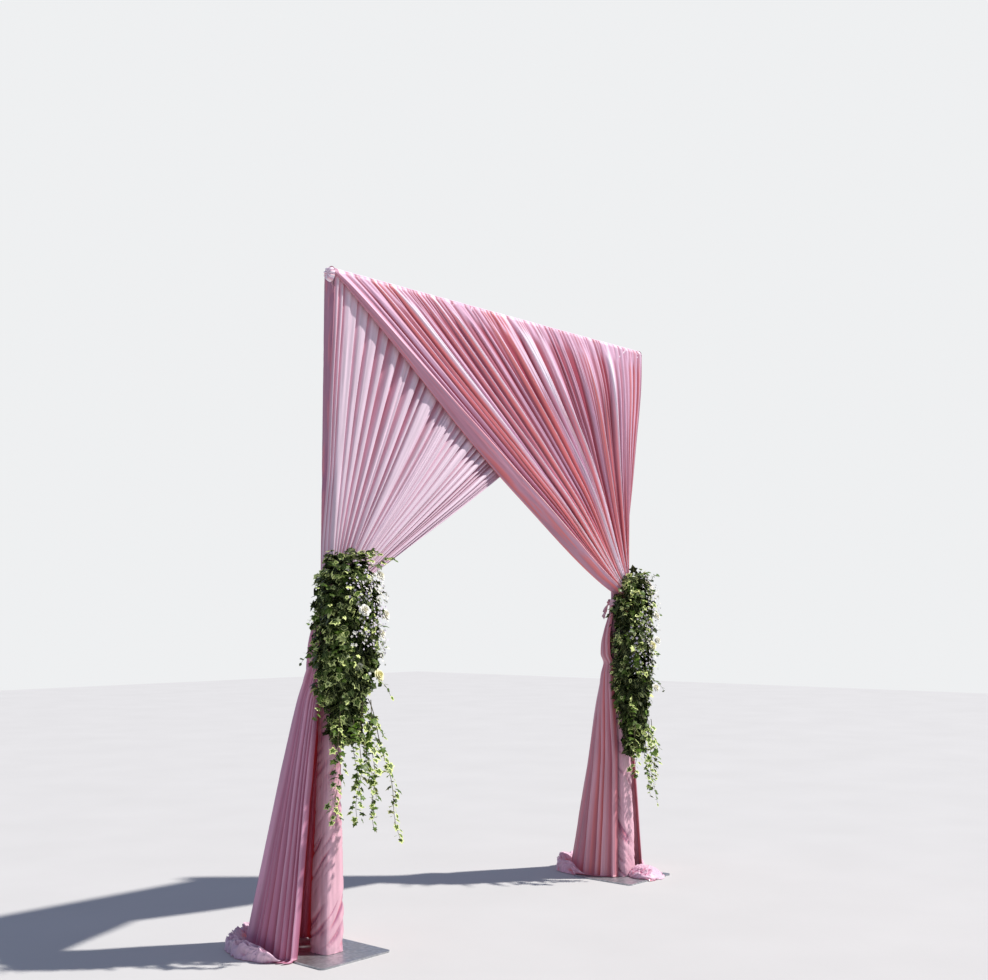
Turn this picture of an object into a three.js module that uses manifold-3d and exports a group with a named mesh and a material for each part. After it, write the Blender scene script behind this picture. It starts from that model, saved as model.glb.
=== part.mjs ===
// Draped wedding arch: two wrapped square steel posts on base plates carry a round crossbar.
// Two pleated cloths are thrown over the bar, cross in front and are tied back, one to each post.
// Their tails fall behind the posts to the floor, and a flower garland covers each tie.
// Millimetres, +Z up, the bar along X, the front towards -Y.
import * as THREE from "three";
import { mergeVertices } from "three/addons/utils/BufferGeometryUtils.js";
import Module from "manifold-3d";

const wasm = await Module();
wasm.setup();

// Steel frame
const TOTAL_HEIGHT = 3050;
const BAR_LENGTH = 2440;
const BAR_RADIUS = 19;
const BAR_WALL = 2;
const BAR_FORWARD = 70;
const POST_SPACING = 2235;
const POST_WIDTH = 60;
const POST_WALL = 2;
const PLATE_WIDTH = 400;
const PLATE_THICKNESS = 8;
const SOCKET_WIDTH = 68;
const SOCKET_BORE = 61;
const SOCKET_HEIGHT = 150;
const BRACKET_WIDTH = 50;
const BRACKET_STEEL = 5;
const SEAT_GAP = 0.4;

// Cloth
const SLEEVE_WIDTH = 75;
const SLEEVE_BORE = 68.6;
const CLOTH_THICKNESS = 5;
const HEADER_WIDTH = 2430;
const REAR_FLAP = 120;
const FRONT_FLAP = 90;
const PLEATS = 13;
const PLEAT_DEPTH = 14;
const PLEAT_ONSET = 250;
const BUNDLE_WIDTH = 96;
const BUNDLE_DEPTH = 42;
const TIE_HEIGHT = 1555;
const TIE_BAND = 35;
const TIE_THICKNESS = 3;

const HALF_SPACING = POST_SPACING / 2;
const REAR_WRAP = BAR_RADIUS + 1;
const FRONT_WRAP = REAR_WRAP + CLOTH_THICKNESS + 0.5;
const BAR_Y = -BAR_FORWARD;
const BAR_Z = TOTAL_HEIGHT - FRONT_WRAP - CLOTH_THICKNESS;
const POST_TOP = BAR_Z + 10.5;
const SLEEVE_TOP = POST_TOP + 10;
const SLEEVE_FACE = SLEEVE_WIDTH / 2;
const BUNDLE_BACK = -SLEEVE_FACE - 0.5;
const BUNDLE_FRONT = BUNDLE_BACK - BUNDLE_DEPTH;
const BUNDLE_Y = (BUNDLE_BACK + BUNDLE_FRONT) / 2;
const BUNDLE_END = TIE_HEIGHT - TIE_BAND / 2 - 3;
const TAIL_TOP = BUNDLE_END - 0.5;
const TAIL_FOOT = PLATE_THICKNESS + 0.4;
const BRACKET_TOP = BAR_Z - BAR_RADIUS - SEAT_GAP;
const BRACKET_BACK = -POST_WIDTH / 2 - SEAT_GAP;

const paint = (color, roughness, metalness = 0) =>
  new THREE.MeshStandardMaterial({ color, roughness, metalness });
const FINISHES = {
  steel: () => paint(0xb9bcc0, 0.45, 0.6),
  plastic: () => paint(0x2b2b2d, 0.6),
  rearCloth: () => paint(0xdcbccd, 0.75),
  frontCloth: () => paint(0xd98793, 0.75),
  tailCloth: () => paint(0xb57587, 0.8),
  sleeveCloth: () => paint(0xa99aa8, 0.8),
  ribbon: () => paint(0xcf98a8, 0.5),
  leaf: () => paint(0x3f5a2c, 0.8),
  cream: () => paint(0xefe6cf, 0.7),
  yellow: () => paint(0xd9d48c, 0.7),
};

const { smoothstep, lerp, degToRad } = THREE.MathUtils;
const arch = new THREE.Group();
const SIDES = [
  { name: "left", out: -1 },
  { name: "right", out: 1 },
];

// Closed bodies

function welded(geometry) {
  geometry.deleteAttribute("normal");
  geometry.deleteAttribute("uv");
  return mergeVertices(geometry, 1e-3);
}

function signedVolume({ index, attributes }) {
  const corner = [new THREE.Vector3(), new THREE.Vector3(), new THREE.Vector3()];
  let sum = 0;
  for (let i = 0; i < index.count; i += 3) {
    corner.forEach((c, k) => c.fromBufferAttribute(attributes.position, index.getX(i + k)));
    sum += corner[0].dot(corner[1].cross(corner[2]));
  }
  return sum / 6;
}

function facingOut(geometry) {
  if (signedVolume(geometry) > 0) return geometry;
  const { index } = geometry;
  for (let i = 0; i < index.count; i += 3) {
    const second = index.getX(i + 1);
    index.setX(i + 1, index.getX(i + 2));
    index.setX(i + 2, second);
  }
  return geometry;
}

// A closed primitive with each vertex moved to where place(x, y, z) puts it.
function shaped(primitive, place) {
  const geometry = welded(primitive);
  const { position } = geometry.attributes;
  for (let i = 0; i < position.count; i += 1) {
    position.setXYZ(i, ...place(position.getX(i), position.getY(i), position.getZ(i)));
  }
  return facingOut(geometry);
}

function solid(geometry) {
  const closed = facingOut(welded(geometry));
  return new wasm.Manifold(
    new wasm.Mesh({
      numProp: 3,
      vertProperties: new Float32Array(closed.attributes.position.array),
      triVerts: new Uint32Array(closed.index.array),
    }),
  );
}

// The largest piece that a cut leaves.
function geometryOf(body) {
  const [largest] = body.decompose().sort((a, b) => b.volume() - a.volume());
  const mesh = largest.getMesh();
  const geometry = new THREE.BufferGeometry();
  geometry.setAttribute("position", new THREE.Float32BufferAttribute(mesh.vertProperties, 3));
  geometry.setIndex(new THREE.Uint32BufferAttribute(mesh.triVerts, 1));
  return geometry;
}

const joined = (...bodies) => geometryOf(bodies.map(solid).reduce((a, b) => a.add(b)));

const cut = (body, ...tools) =>
  geometryOf(tools.map(solid).reduce((rest, tool) => rest.subtract(tool), solid(body)));

const box = (x0, x1, y0, y1, z0, z1) =>
  new THREE.BoxGeometry(x1 - x0, y1 - y0, z1 - z0).translate((x0 + x1) / 2, (y0 + y1) / 2, (z0 + z1) / 2);

const squareColumn = (width, z0, z1) => box(-width / 2, width / 2, -width / 2, width / 2, z0, z1);

function roundedRectangle(x0, x1, y0, y1, radius, path = new THREE.Shape()) {
  path.absarc(x1 - radius, y1 - radius, radius, 0, Math.PI / 2);
  path.absarc(x0 + radius, y1 - radius, radius, Math.PI / 2, Math.PI);
  path.absarc(x0 + radius, y0 + radius, radius, Math.PI, Math.PI * 1.5);
  path.absarc(x1 - radius, y0 + radius, radius, Math.PI * 1.5, Math.PI * 2);
  return path;
}

const roundedSquare = (width, radius, path) =>
  roundedRectangle(-width / 2, width / 2, -width / 2, width / 2, radius, path);

function upright(shape, z0, z1, curveSegments = 2) {
  const options = { depth: z1 - z0, bevelEnabled: false, curveSegments };
  return new THREE.ExtrudeGeometry(shape, options).translate(0, 0, z0);
}

// An outline drawn in Y and Z, drawn out along X.
function alongX(shape, x0, x1, curveSegments = 12) {
  const options = { depth: x1 - x0, bevelEnabled: false, curveSegments };
  const axes = [new THREE.Vector3(0, 1, 0), new THREE.Vector3(0, 0, 1), new THREE.Vector3(1, 0, 0)];
  const turn = new THREE.Matrix4().makeBasis(...axes);
  return new THREE.ExtrudeGeometry(shape, options).applyMatrix4(turn).translate(x0, 0, 0);
}

function squareTube(width, bore, z0, z1) {
  const shape = roundedSquare(width, 4);
  shape.holes.push(roundedSquare(bore, 2, new THREE.Path()));
  return upright(shape, z0, z1);
}

function addNode(name, geometry, finish, x = 0, y = 0, z = 0) {
  const mesh = new THREE.Mesh(geometry, finish());
  mesh.name = name;
  mesh.position.set(x, y, z);
  geometry.computeVertexNormals();
  arch.add(mesh);
}

// Frame pieces, each drawn about its post's axis

function postCap() {
  const lid = upright(roundedSquare(POST_WIDTH, 4), POST_TOP, POST_TOP + 4);
  const plug = upright(roundedSquare(POST_WIDTH - 2 * POST_WALL - 1, 2), POST_TOP - 18, POST_TOP + 1);
  return joined(lid, plug);
}

// Angle bracket on the front of a post, with a rib under the shelf that the bar rests on.
function beamBracket() {
  const half = BRACKET_WIDTH / 2;
  const foot = BRACKET_TOP - 100;
  const front = BAR_Y - BAR_RADIUS + 3;
  const rib = new THREE.Shape();
  rib.moveTo(BRACKET_BACK - 2, foot + 5);
  rib.lineTo(BRACKET_BACK - 2, BRACKET_TOP - 2);
  rib.lineTo(front + 4, BRACKET_TOP - 2);
  return joined(
    box(-half, half, BRACKET_BACK - BRACKET_STEEL, BRACKET_BACK, foot, BRACKET_TOP),
    box(-half, half, front, BRACKET_BACK, BRACKET_TOP - BRACKET_STEEL, BRACKET_TOP),
    alongX(rib, -3, 3),
  );
}

// Cloth sewn closed at the top, open at the foot, with a slot for the bracket.
function postSleeve() {
  const slot = BRACKET_WIDTH / 2 + 1;
  return cut(
    upright(roundedSquare(SLEEVE_WIDTH, 5), TAIL_FOOT, SLEEVE_TOP),
    squareColumn(SLEEVE_BORE, 0, SLEEVE_TOP - 3.5),
    box(-slot, slot, -SLEEVE_FACE - 5, 0, BRACKET_TOP - 101, SLEEVE_TOP - 3.5),
  );
}

function crossbar() {
  const ring = new THREE.Shape().absarc(BAR_Y, BAR_Z, BAR_RADIUS, 0, Math.PI * 2);
  ring.holes.push(new THREE.Path().absarc(BAR_Y, BAR_Z, BAR_RADIUS - BAR_WALL, 0, Math.PI * 2));
  return alongX(ring, -BAR_LENGTH / 2, BAR_LENGTH / 2);
}

function barEndCap(out) {
  const disc = new THREE.Shape().absarc(BAR_Y, BAR_Z, BAR_RADIUS, 0, Math.PI * 2);
  const plug = new THREE.Shape().absarc(BAR_Y, BAR_Z, BAR_RADIUS - BAR_WALL - 0.4, 0, Math.PI * 2);
  const end = (out * BAR_LENGTH) / 2;
  const span = (a, b) => [Math.min(a, b), Math.max(a, b)];
  return joined(alongX(disc, ...span(end, end + out * 4)), alongX(plug, ...span(end - out * 20, end + out)));
}

// Drapes

// A cloth over the bar: a flap behind, half a turn over the top, then a pleated fan down to its tie.
// Columns run across the header, rows along the cloth. Extra thickens the fan for cutting a clearance.
function drape(style, out, { columns = PLEATS * 2, pleat = PLEAT_DEPTH, extra = 0 } = {}) {
  const turns = 8;
  const fanRows = 8;
  const rows = 1 + turns + fanRows + 1;
  const middle = style.wrap + CLOTH_THICKNESS / 2;
  const postX = out * HALF_SPACING;

  const onHeader = (x, row, lift) => {
    if (row === 0) return [x, BAR_Y + middle + lift, BAR_Z - style.flap];
    const angle = (Math.PI * (row - 1)) / turns;
    const radius = middle + lift;
    return [x, BAR_Y + radius * Math.cos(angle), BAR_Z + radius * Math.sin(angle)];
  };

  const onFan = (x, across, row, side, wave) => {
    const fall = Math.min(1, (row - 1 - turns) / fanRows);
    const tieX = postX + out * (BUNDLE_WIDTH + extra) * (0.5 - across);
    const tieTop = TIE_HEIGHT + TIE_BAND / 2 + 3;
    const sag = style.sag * across ** 2 * Math.sin(Math.PI * fall ** 1.15);
    const z = row === rows ? BUNDLE_END : lerp(BAR_Z, tieTop, fall) - sag;
    const below = Math.min(1, (BAR_Z - z) / PLEAT_ONSET);
    const gather = smoothstep(fall, 0.55, 1);
    const hang = BAR_Y - middle - style.stand * below;
    const centre = lerp(hang, BUNDLE_Y, gather);
    const thickness = lerp(CLOTH_THICKNESS, BUNDLE_DEPTH, gather) + extra;
    const ripple = pleat * below * (1 - smoothstep(fall, 0.5, 0.95)) * wave;
    return [lerp(x, tieX, fall), centre - side * thickness + ripple, z];
  };

  return shaped(new THREE.BoxGeometry(1, 1, 1, columns, rows, 1), (px, py, side) => {
    const row = Math.round((py + 0.5) * rows);
    const x = px * (HEADER_WIDTH + extra);
    const across = out > 0 ? 0.5 - px : 0.5 + px;
    const number = Math.round((px + 0.5) * columns);
    const wave = (number % 2 ? 1 : -1) * (0.8 + 0.2 * Math.sin(number * 2.3));
    if (row <= turns + 1) return onHeader(x, row, side * CLOTH_THICKNESS);
    return onFan(x, across, row, side, wave);
  });
}

const REAR_STYLE = { wrap: REAR_WRAP, flap: REAR_FLAP, stand: 10, sag: 25 };
const FRONT_STYLE = { wrap: FRONT_WRAP, flap: FRONT_FLAP, stand: 39, sag: 135 };

// The flaps are notched where the posts and brackets stand behind the bar.
function notched(cloth) {
  const reach = SLEEVE_FACE - BRACKET_WIDTH / 2 + 2;
  const half = BRACKET_WIDTH / 2 + reach;
  const notch = (x) => box(x - half, x + half, BAR_Y + BAR_RADIUS - 1, 0, BAR_Z - 200, BRACKET_TOP + 3);
  return cut(cloth, notch(-HALF_SPACING), notch(HALF_SPACING));
}

function tieBand() {
  const half = BUNDLE_WIDTH / 2 + 0.5;
  const front = BUNDLE_FRONT - 0.4;
  const back = SLEEVE_FACE + 0.4;
  const t = TIE_THICKNESS;
  const ring = roundedRectangle(-half - t, half + t, front - t, back + t, 9);
  ring.holes.push(roundedRectangle(-half, half, front, back, 1, new THREE.Path()));
  return upright(ring, TIE_HEIGHT - TIE_BAND / 2, TIE_HEIGHT + TIE_BAND / 2, 3);
}

// Tails

// Reach of the tail's foot from the post's axis, by bearing: 0 is the front, 90 the outer side.
const FOOT_OUTLINE = [
  [80, 190],
  [110, 240],
  [132, 330],
  [150, 405],
  [165, 400],
  [180, 355],
  [195, 290],
  [215, 200],
  [245, 125],
];
const WRAP_RADIUS = 62;
const TAIL_PLEAT = 12;

function footReach(bearing) {
  const next = Math.min(FOOT_OUTLINE.length - 1, Math.max(1, FOOT_OUTLINE.findIndex(([b]) => b >= bearing)));
  const [b0, r0] = FOOT_OUTLINE[next - 1];
  const [b1, r1] = FOOT_OUTLINE[next];
  return lerp(r0, r1, smoothstep(bearing, b0, b1));
}

const around = (out, bearing, radius, z) => {
  const angle = degToRad(bearing);
  return [out * radius * Math.sin(angle), -radius * Math.cos(angle), z];
};

// A pleated sheet wound about the post under the tie, opening at the front and flaring backwards.
// For cutting a clearance, extra thickens it and margin widens its bearings at both ends.
function tail(out, { columns = 24, pleat = TAIL_PLEAT, extra = 0, margin = 0 } = {}) {
  const rows = 8;
  return shaped(new THREE.BoxGeometry(1, 1, 1, columns, rows, 1), (px, py, side) => {
    const fall = 0.5 - py;
    const first = lerp(-35, 85, smoothstep(fall, 0, 0.45)) - margin;
    const last = lerp(205, 245, fall) + margin;
    const bearing = lerp(first, last, px + 0.5);
    const wave = Math.round((px + 0.5) * columns) % 2 ? 1 : -1;
    const spread = lerp(WRAP_RADIUS, footReach(bearing), fall);
    const radius = spread + side * (CLOTH_THICKNESS + 1 + extra) + wave * lerp(Math.min(2, pleat), pleat, fall);
    return around(out, bearing, radius, lerp(TAIL_TOP, TAIL_FOOT, fall));
  });
}

// Surplus cloth bunched on the floor behind the tail.
function puddle(out) {
  const from = 97;
  const to = 206;
  const heap = shaped(new THREE.CylinderGeometry(1, 1, 1, 10, 18), (px, py, pz) => {
    const along = py + 0.5;
    const taper = Math.max(0.25, (1 - Math.abs(2 * along - 1) ** 4) ** 0.5);
    const lump = 1 + 0.16 * Math.sin(along * 31) + 0.1 * Math.sin(along * 53);
    const bearing = lerp(from, to, along);
    const middle = footReach(bearing) + 52;
    const z = Math.max(0, 20 + 38 * pz * taper * lump);
    return around(out, bearing, middle + 46 * px * taper * lump, z);
  });
  return cut(heap, tail(out, { extra: 1.4 }));
}

// Garlands

const GARLANDS = {
  left: {
    top: 1755,
    foot: 935,
    width: 165,
    depth: 148,
    middleY: -112,
    roses: [
      { bearing: -68, z: 1655, size: 34, finish: "cream" },
      { bearing: -62, z: 1480, size: 36, finish: "cream" },
      { bearing: -66, z: 1395, size: 32, finish: "cream" },
      { bearing: 12, z: 1500, size: 30, finish: "cream" },
      { bearing: -30, z: 1215, size: 33, finish: "yellow" },
    ],
    strands: [
      { bearing: -78, drop: 640, reach: 190, leaves: 6 },
      { bearing: -40, drop: 560, reach: 30, leaves: 7 },
      { bearing: 0, drop: 520, reach: -15, leaves: 6 },
      { bearing: 55, drop: 500, reach: 60, leaves: 6 },
    ],
  },
  right: {
    top: 1730,
    foot: 715,
    width: 142,
    depth: 128,
    middleY: -97,
    roses: [
      { bearing: 68, z: 1655, size: 42, finish: "cream" },
      { bearing: 42, z: 1475, size: 30, finish: "cream" },
      { bearing: 60, z: 1335, size: 33, finish: "cream" },
      { bearing: 14, z: 1310, size: 30, finish: "yellow" },
      { bearing: 20, z: 1070, size: 30, finish: "cream" },
    ],
    strands: [
      { bearing: -50, drop: 300, reach: 70, leaves: 5 },
      { bearing: 0, drop: 380, reach: 20, leaves: 6 },
      { bearing: 60, drop: 330, reach: 40, leaves: 5 },
    ],
  },
};

// Distance from the garland's axis to its leafy face, by bearing from the front and height.
function leafyReach(garland, bearing, z) {
  const angle = degToRad(bearing);
  const up = (z - garland.foot) / (garland.top - garland.foot);
  const swell = 0.5 + 0.5 * smoothstep(up, 0, 0.4) - 0.45 * smoothstep(up, 0.85, 1);
  const lumps = 0.05 * Math.sin(3 * angle + 7 * up) + 0.045 * Math.sin(5 * angle - 16 * up);
  const oval = Math.hypot(garland.width * Math.sin(angle), garland.depth * Math.cos(angle));
  return oval * (swell + lumps);
}

function leafyMass(garland, out, grow = 0) {
  return shaped(new THREE.CylinderGeometry(1, 1, 1, 16, 10), (px, py, pz) => {
    const z = lerp(garland.foot - grow, garland.top + grow, py + 0.5);
    const bearing = THREE.MathUtils.radToDeg(Math.atan2(px, -pz));
    const share = Math.hypot(px, pz);
    const radius = share < 0.5 ? 0 : leafyReach(garland, bearing, z) + grow;
    const [x, y] = around(out, bearing, radius, z);
    return [x, y + garland.middleY, z];
  });
}

function onLeaf(garland, out, bearing, z, outward) {
  const [x, y] = around(out, bearing, leafyReach(garland, bearing, z) + outward, z);
  return new THREE.Vector3(x, y + garland.middleY, z);
}

function rose({ bearing, z, size }, garland, out, grow = 0) {
  const outline = [
    [0, -0.7],
    [0.55, -0.62],
    [0.95, -0.1],
    [0.98, 0.25],
    [0.7, 0.32],
    [0.62, 0.58],
    [0.34, 0.62],
    [0, 0.5],
  ];
  const profile = outline.map(([r, h]) => new THREE.Vector2(r * size, h * size));
  const bloom = shaped(new THREE.LatheGeometry(profile, 10), (px, py, pz) => {
    const wave = 1 + 0.05 * Math.cos(5 * Math.atan2(pz, px));
    const scale = (size + grow) / size;
    return [px * wave * scale, py * scale, pz * wave * scale];
  });
  const seat = onLeaf(garland, out, bearing, z, size * 0.1);
  const [dx, dy] = around(out, bearing, 1, 0);
  const facing = new THREE.Vector3(dx, dy, 0.25).normalize();
  const turn = new THREE.Quaternion().setFromUnitVectors(new THREE.Vector3(0, 1, 0), facing);
  return bloom.applyQuaternion(turn).translate(seat.x, seat.y, seat.z);
}

// A trailing stem with leaves, hanging from the foliage's face.
function strand({ bearing, drop, reach, leaves }, garland, out) {
  const start = garland.foot + 170;
  const point = (share) => {
    const outward = lerp(-16, reach, share ** 0.8) + 9 * Math.sin(share * 9);
    const z = start - drop * share;
    const from = onLeaf(garland, out, bearing, Math.max(z, garland.foot + 60), outward);
    return new THREE.Vector3(from.x + 6 * Math.sin(share * 13), from.y, z);
  };
  const path = new THREE.CatmullRomCurve3(Array.from({ length: 9 }, (_, i) => point(i / 8)));
  const section = new THREE.Shape().absarc(0, 0, 3, 0, Math.PI * 2);
  const options = { steps: 10, extrudePath: path, curveSegments: 3, bevelEnabled: false };
  const parts = [new THREE.ExtrudeGeometry(section, options)];
  for (let i = 0; i < leaves; i += 1) {
    const at = path.getPointAt(lerp(0.42, 0.97, i / (leaves - 1)));
    parts.push(leafPlate(at, (i % 2 ? 70 : -70) + bearing * out, i));
  }
  return joined(...parts);
}

function leafPlate(at, heading, number) {
  const length = 44;
  const width = 26;
  const outline = new THREE.Shape();
  outline.moveTo(-4, 0);
  outline.lineTo(length * 0.4, width / 2);
  outline.lineTo(length, 0);
  outline.lineTo(length * 0.4, -width / 2);
  const plate = new THREE.ExtrudeGeometry(outline, { depth: 1.6, bevelEnabled: false });
  plate.translate(0, 0, -0.8).rotateX(0.4 + 0.2 * Math.sin(number * 2));
  return plate.rotateY(0.75).rotateZ(degToRad(heading - 90)).translate(at.x, at.y, at.z);
}

// Assembly

for (const { name, out } of SIDES) {
  const x = out * HALF_SPACING;
  const garland = GARLANDS[name];
  const ownStyle = out < 0 ? REAR_STYLE : FRONT_STYLE;
  const clearances = [
    squareColumn(SLEEVE_WIDTH + 1, 0, TOTAL_HEIGHT),
    drape(ownStyle, out, { columns: 6, pleat: 0, extra: 2 * PLEAT_DEPTH + 6 }).translate(-x, 0, 0),
    tail(out, { columns: 16, pleat: 0, extra: 16, margin: 4 }),
    box(-55, 55, BUNDLE_FRONT - 4, SLEEVE_FACE + 4, TAIL_TOP - 1, TIE_HEIGHT + TIE_BAND),
  ];
  const pockets = garland.roses.map((bloom) => rose(bloom, garland, out, 0.5));

  addNode(`${name}_base_plate`, upright(roundedSquare(PLATE_WIDTH, 20), 0, PLATE_THICKNESS, 4), FINISHES.steel, x);
  addNode(
    `${name}_socket`,
    squareTube(SOCKET_WIDTH, SOCKET_BORE, PLATE_THICKNESS, PLATE_THICKNESS + SOCKET_HEIGHT),
    FINISHES.steel,
    x,
  );
  addNode(`${name}_post`, squareTube(POST_WIDTH, POST_WIDTH - 2 * POST_WALL, PLATE_THICKNESS, POST_TOP), FINISHES.steel, x);
  addNode(`${name}_post_cap`, postCap(), FINISHES.plastic, x);
  addNode(`${name}_beam_bracket`, beamBracket(), FINISHES.steel, x);
  addNode(`${name}_post_sleeve`, postSleeve(), FINISHES.sleeveCloth, x);
  addNode(`${name}_bar_end_cap`, barEndCap(out), FINISHES.plastic);
  addNode(`${name}_tie_band`, tieBand(), FINISHES.ribbon, x);
  addNode(`${name}_tail`, tail(out), FINISHES.tailCloth, x);
  addNode(`${name}_tail_puddle`, puddle(out), FINISHES.tailCloth, x);
  addNode(`${name}_garland_foliage`, cut(leafyMass(garland, out), ...clearances, ...pockets), FINISHES.leaf, x);
  garland.roses.forEach((bloom, i) => {
    addNode(`${name}_garland_rose_${i + 1}`, rose(bloom, garland, out), FINISHES[bloom.finish], x);
  });
  garland.strands.forEach((stem, i) => {
    const hanging = cut(strand(stem, garland, out), leafyMass(garland, out, 0.5));
    addNode(`${name}_trailing_strand_${i + 1}`, hanging, FINISHES.leaf, x);
  });
}
addNode("crossbar", crossbar(), FINISHES.steel);
addNode("rear_drape", notched(drape(REAR_STYLE, -1)), FINISHES.rearCloth);
addNode("front_drape", notched(drape(FRONT_STYLE, 1)), FINISHES.frontCloth);

// The origin is the middle of the arch's footprint, on the floor.
const extent = new THREE.Box3().setFromObject(arch);
const middle = extent.getCenter(new THREE.Vector3());
arch.position.set(-middle.x, -middle.y, 0);

export default arch;
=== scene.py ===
"""Draped wedding arch: wrapped steel posts and bar, two tied-back cloths, their tails, and two flower garlands."""
import math

import bpy
import numpy as np
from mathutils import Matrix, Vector


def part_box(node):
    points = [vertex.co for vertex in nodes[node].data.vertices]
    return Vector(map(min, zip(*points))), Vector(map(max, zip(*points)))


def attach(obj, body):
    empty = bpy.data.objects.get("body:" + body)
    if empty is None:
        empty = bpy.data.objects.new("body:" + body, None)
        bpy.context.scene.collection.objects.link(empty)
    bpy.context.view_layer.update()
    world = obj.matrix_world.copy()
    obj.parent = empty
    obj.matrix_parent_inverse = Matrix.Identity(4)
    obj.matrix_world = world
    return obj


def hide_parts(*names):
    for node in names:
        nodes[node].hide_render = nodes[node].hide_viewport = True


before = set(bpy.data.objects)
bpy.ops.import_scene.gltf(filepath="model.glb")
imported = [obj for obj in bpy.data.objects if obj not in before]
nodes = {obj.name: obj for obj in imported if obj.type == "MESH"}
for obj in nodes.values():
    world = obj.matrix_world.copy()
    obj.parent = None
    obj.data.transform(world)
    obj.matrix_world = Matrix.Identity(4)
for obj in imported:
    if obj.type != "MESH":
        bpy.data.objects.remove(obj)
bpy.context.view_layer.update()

# ---- The view, the light and the floor
# The camera stands at eye height to the left of the arch, as far off as the photograph's perspective says.
# One broad sun-like lamp is in front and to the right, with a pale cool sky all round and a pale floor.

post_low, post_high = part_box("left_post")
POST_Y = (post_low.y + post_high.y) / 2
EYE = Vector((-4.996, POST_Y - 4.345, 1.47))
LOOK_UP, LOOK_RIGHT = 5.68, 49.0
FILM_WIDTH, LENS = 36, 46.49
SUN_FROM = Vector((0.54, -0.58, 0.98))
SUN_POWER, SUN_SPREAD = 4.7, 1.6


def in_scene(name, data):
    """An object of the scene from its data."""
    thing = bpy.data.objects.new(name, data)
    bpy.context.scene.collection.objects.link(thing)
    return thing


camera = in_scene("camera", bpy.data.cameras.new("camera"))
camera.data.sensor_width = FILM_WIDTH
camera.data.lens = LENS
camera.data.clip_end = 200
camera.location = EYE
camera.rotation_euler = (math.radians(90 + LOOK_UP), 0, math.radians(-LOOK_RIGHT))
bpy.context.scene.camera = camera
bpy.context.scene.view_settings.view_transform = "Standard"

sun = in_scene("key_lamp", bpy.data.lights.new("key_lamp", "SUN"))
sun.data.energy = SUN_POWER
sun.data.angle = math.radians(SUN_SPREAD)
sun.data.color = (1.0, 0.96, 0.92)
sun.rotation_euler = SUN_FROM.to_track_quat("Z", "Y").to_euler()


def wire(tree, node, **inputs):
    """Sets each named input of a node to a value or a colour, or wires it to a socket. i1 is its second input."""
    for name, value in inputs.items():
        socket = node.inputs[int(name[1:]) if name[1:].isdigit() else name.replace("_", " ")]
        if isinstance(value, bpy.types.NodeSocket):
            tree.links.new(value, socket)
        else:
            socket.default_value = (*value, 1) if socket.type == "RGBA" else value
    return node


def add(tree, kind, settings=None, **inputs):
    """A new node of the kind, with its settings and inputs."""
    node = tree.nodes.new("ShaderNode" + kind)
    for name, value in (settings or {}).items():
        setattr(node, name, value)
    return wire(tree, node, **inputs)


def given(tree, kind, settings=None, output=0, **inputs):
    """What one output of a new node of the kind gives."""
    return add(tree, kind, settings, **inputs).outputs[output]


def mixed(tree, share, a, b):
    """A colour from a to b by its share of b."""
    return given(tree, "Mix", {"data_type": "RGBA"}, "Result", Factor=share, A=a, B=b)


def finish_of(name, **values):
    """A material with its node tree and its Principled shader, and the shader's plain values."""
    finish = bpy.data.materials.new(name)
    finish.use_nodes = True
    tree = finish.node_tree
    return finish, tree, wire(tree, tree.nodes["Principled BSDF"], **values)


sky = bpy.data.worlds.new("studio_sky")
bpy.context.scene.world = sky
sky.use_nodes = True
tree = sky.node_tree
tree.nodes.clear()
seen = given(tree, "LightPath", output="Is Camera Ray")
cool = given(tree, "Background", Color=(0.60, 0.70, 1.0), Strength=0.38)
plain = given(tree, "Background", Color=(0.86, 0.87, 0.88), Strength=1.0)
add(tree, "OutputWorld", Surface=given(tree, "MixShader", Fac=seen, i1=cool, i2=plain))


def mesh_object(name, points, faces, finish, **values):
    """A smooth mesh from points and equal-sided faces, with named values or flat places on its points."""
    mesh = bpy.data.meshes.new(name)
    mesh.vertices.add(len(points))
    mesh.vertices.foreach_set("co", np.asarray(points, np.float32).ravel())
    mesh.loops.add(faces.size)
    mesh.loops.foreach_set("vertex_index", faces.astype(np.int32).ravel())
    mesh.polygons.add(len(faces))
    mesh.polygons.foreach_set("loop_start", np.arange(0, faces.size, faces.shape[1], dtype=np.int32))
    mesh.update(calc_edges=True)
    mesh.polygons.foreach_set("use_smooth", np.ones(len(faces), bool))
    for key, value in values.items():
        value = np.asarray(value, np.float32)
        if value.ndim == 2:
            mesh.uv_layers.new(name=key).uv.foreach_set("vector", value[faces.ravel()].ravel())
        else:
            mesh.attributes.new(key, "FLOAT", "POINT").data.foreach_set("value", value)
    mesh.materials.append(finish)
    return in_scene(name, mesh)


def grid_faces(rows, columns, closed=False):
    """The quads of a grid of points, row by row. With closed, the last column joins the first."""
    row, column = np.meshgrid(np.arange(rows - 1), np.arange(columns if closed else columns - 1), indexing="ij")
    here, beside = row * columns + column, row * columns + (column + 1) % columns
    return np.stack([here, beside, beside + columns, here + columns], -1).reshape(-1, 4)


FLOOR_STEPS = np.linspace(-20, 20, 9)
floor_finish, tree, shader = finish_of("pale_floor", Roughness=0.85)
cloudy = given(tree, "TexNoise", Vector=given(tree, "TexCoord", output="Object"), Scale=1.4, Detail=4.0)
wire(tree, shader, Base_Color=mixed(tree, cloudy, (0.56, 0.555, 0.54), (0.62, 0.615, 0.60)))
flat = np.stack(np.meshgrid(FLOOR_STEPS, FLOOR_STEPS, [0.0], indexing="ij"), -1).reshape(-1, 3)
mesh_object("floor", flat, grid_faces(9, 9)[:, ::-1], floor_finish)

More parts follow.
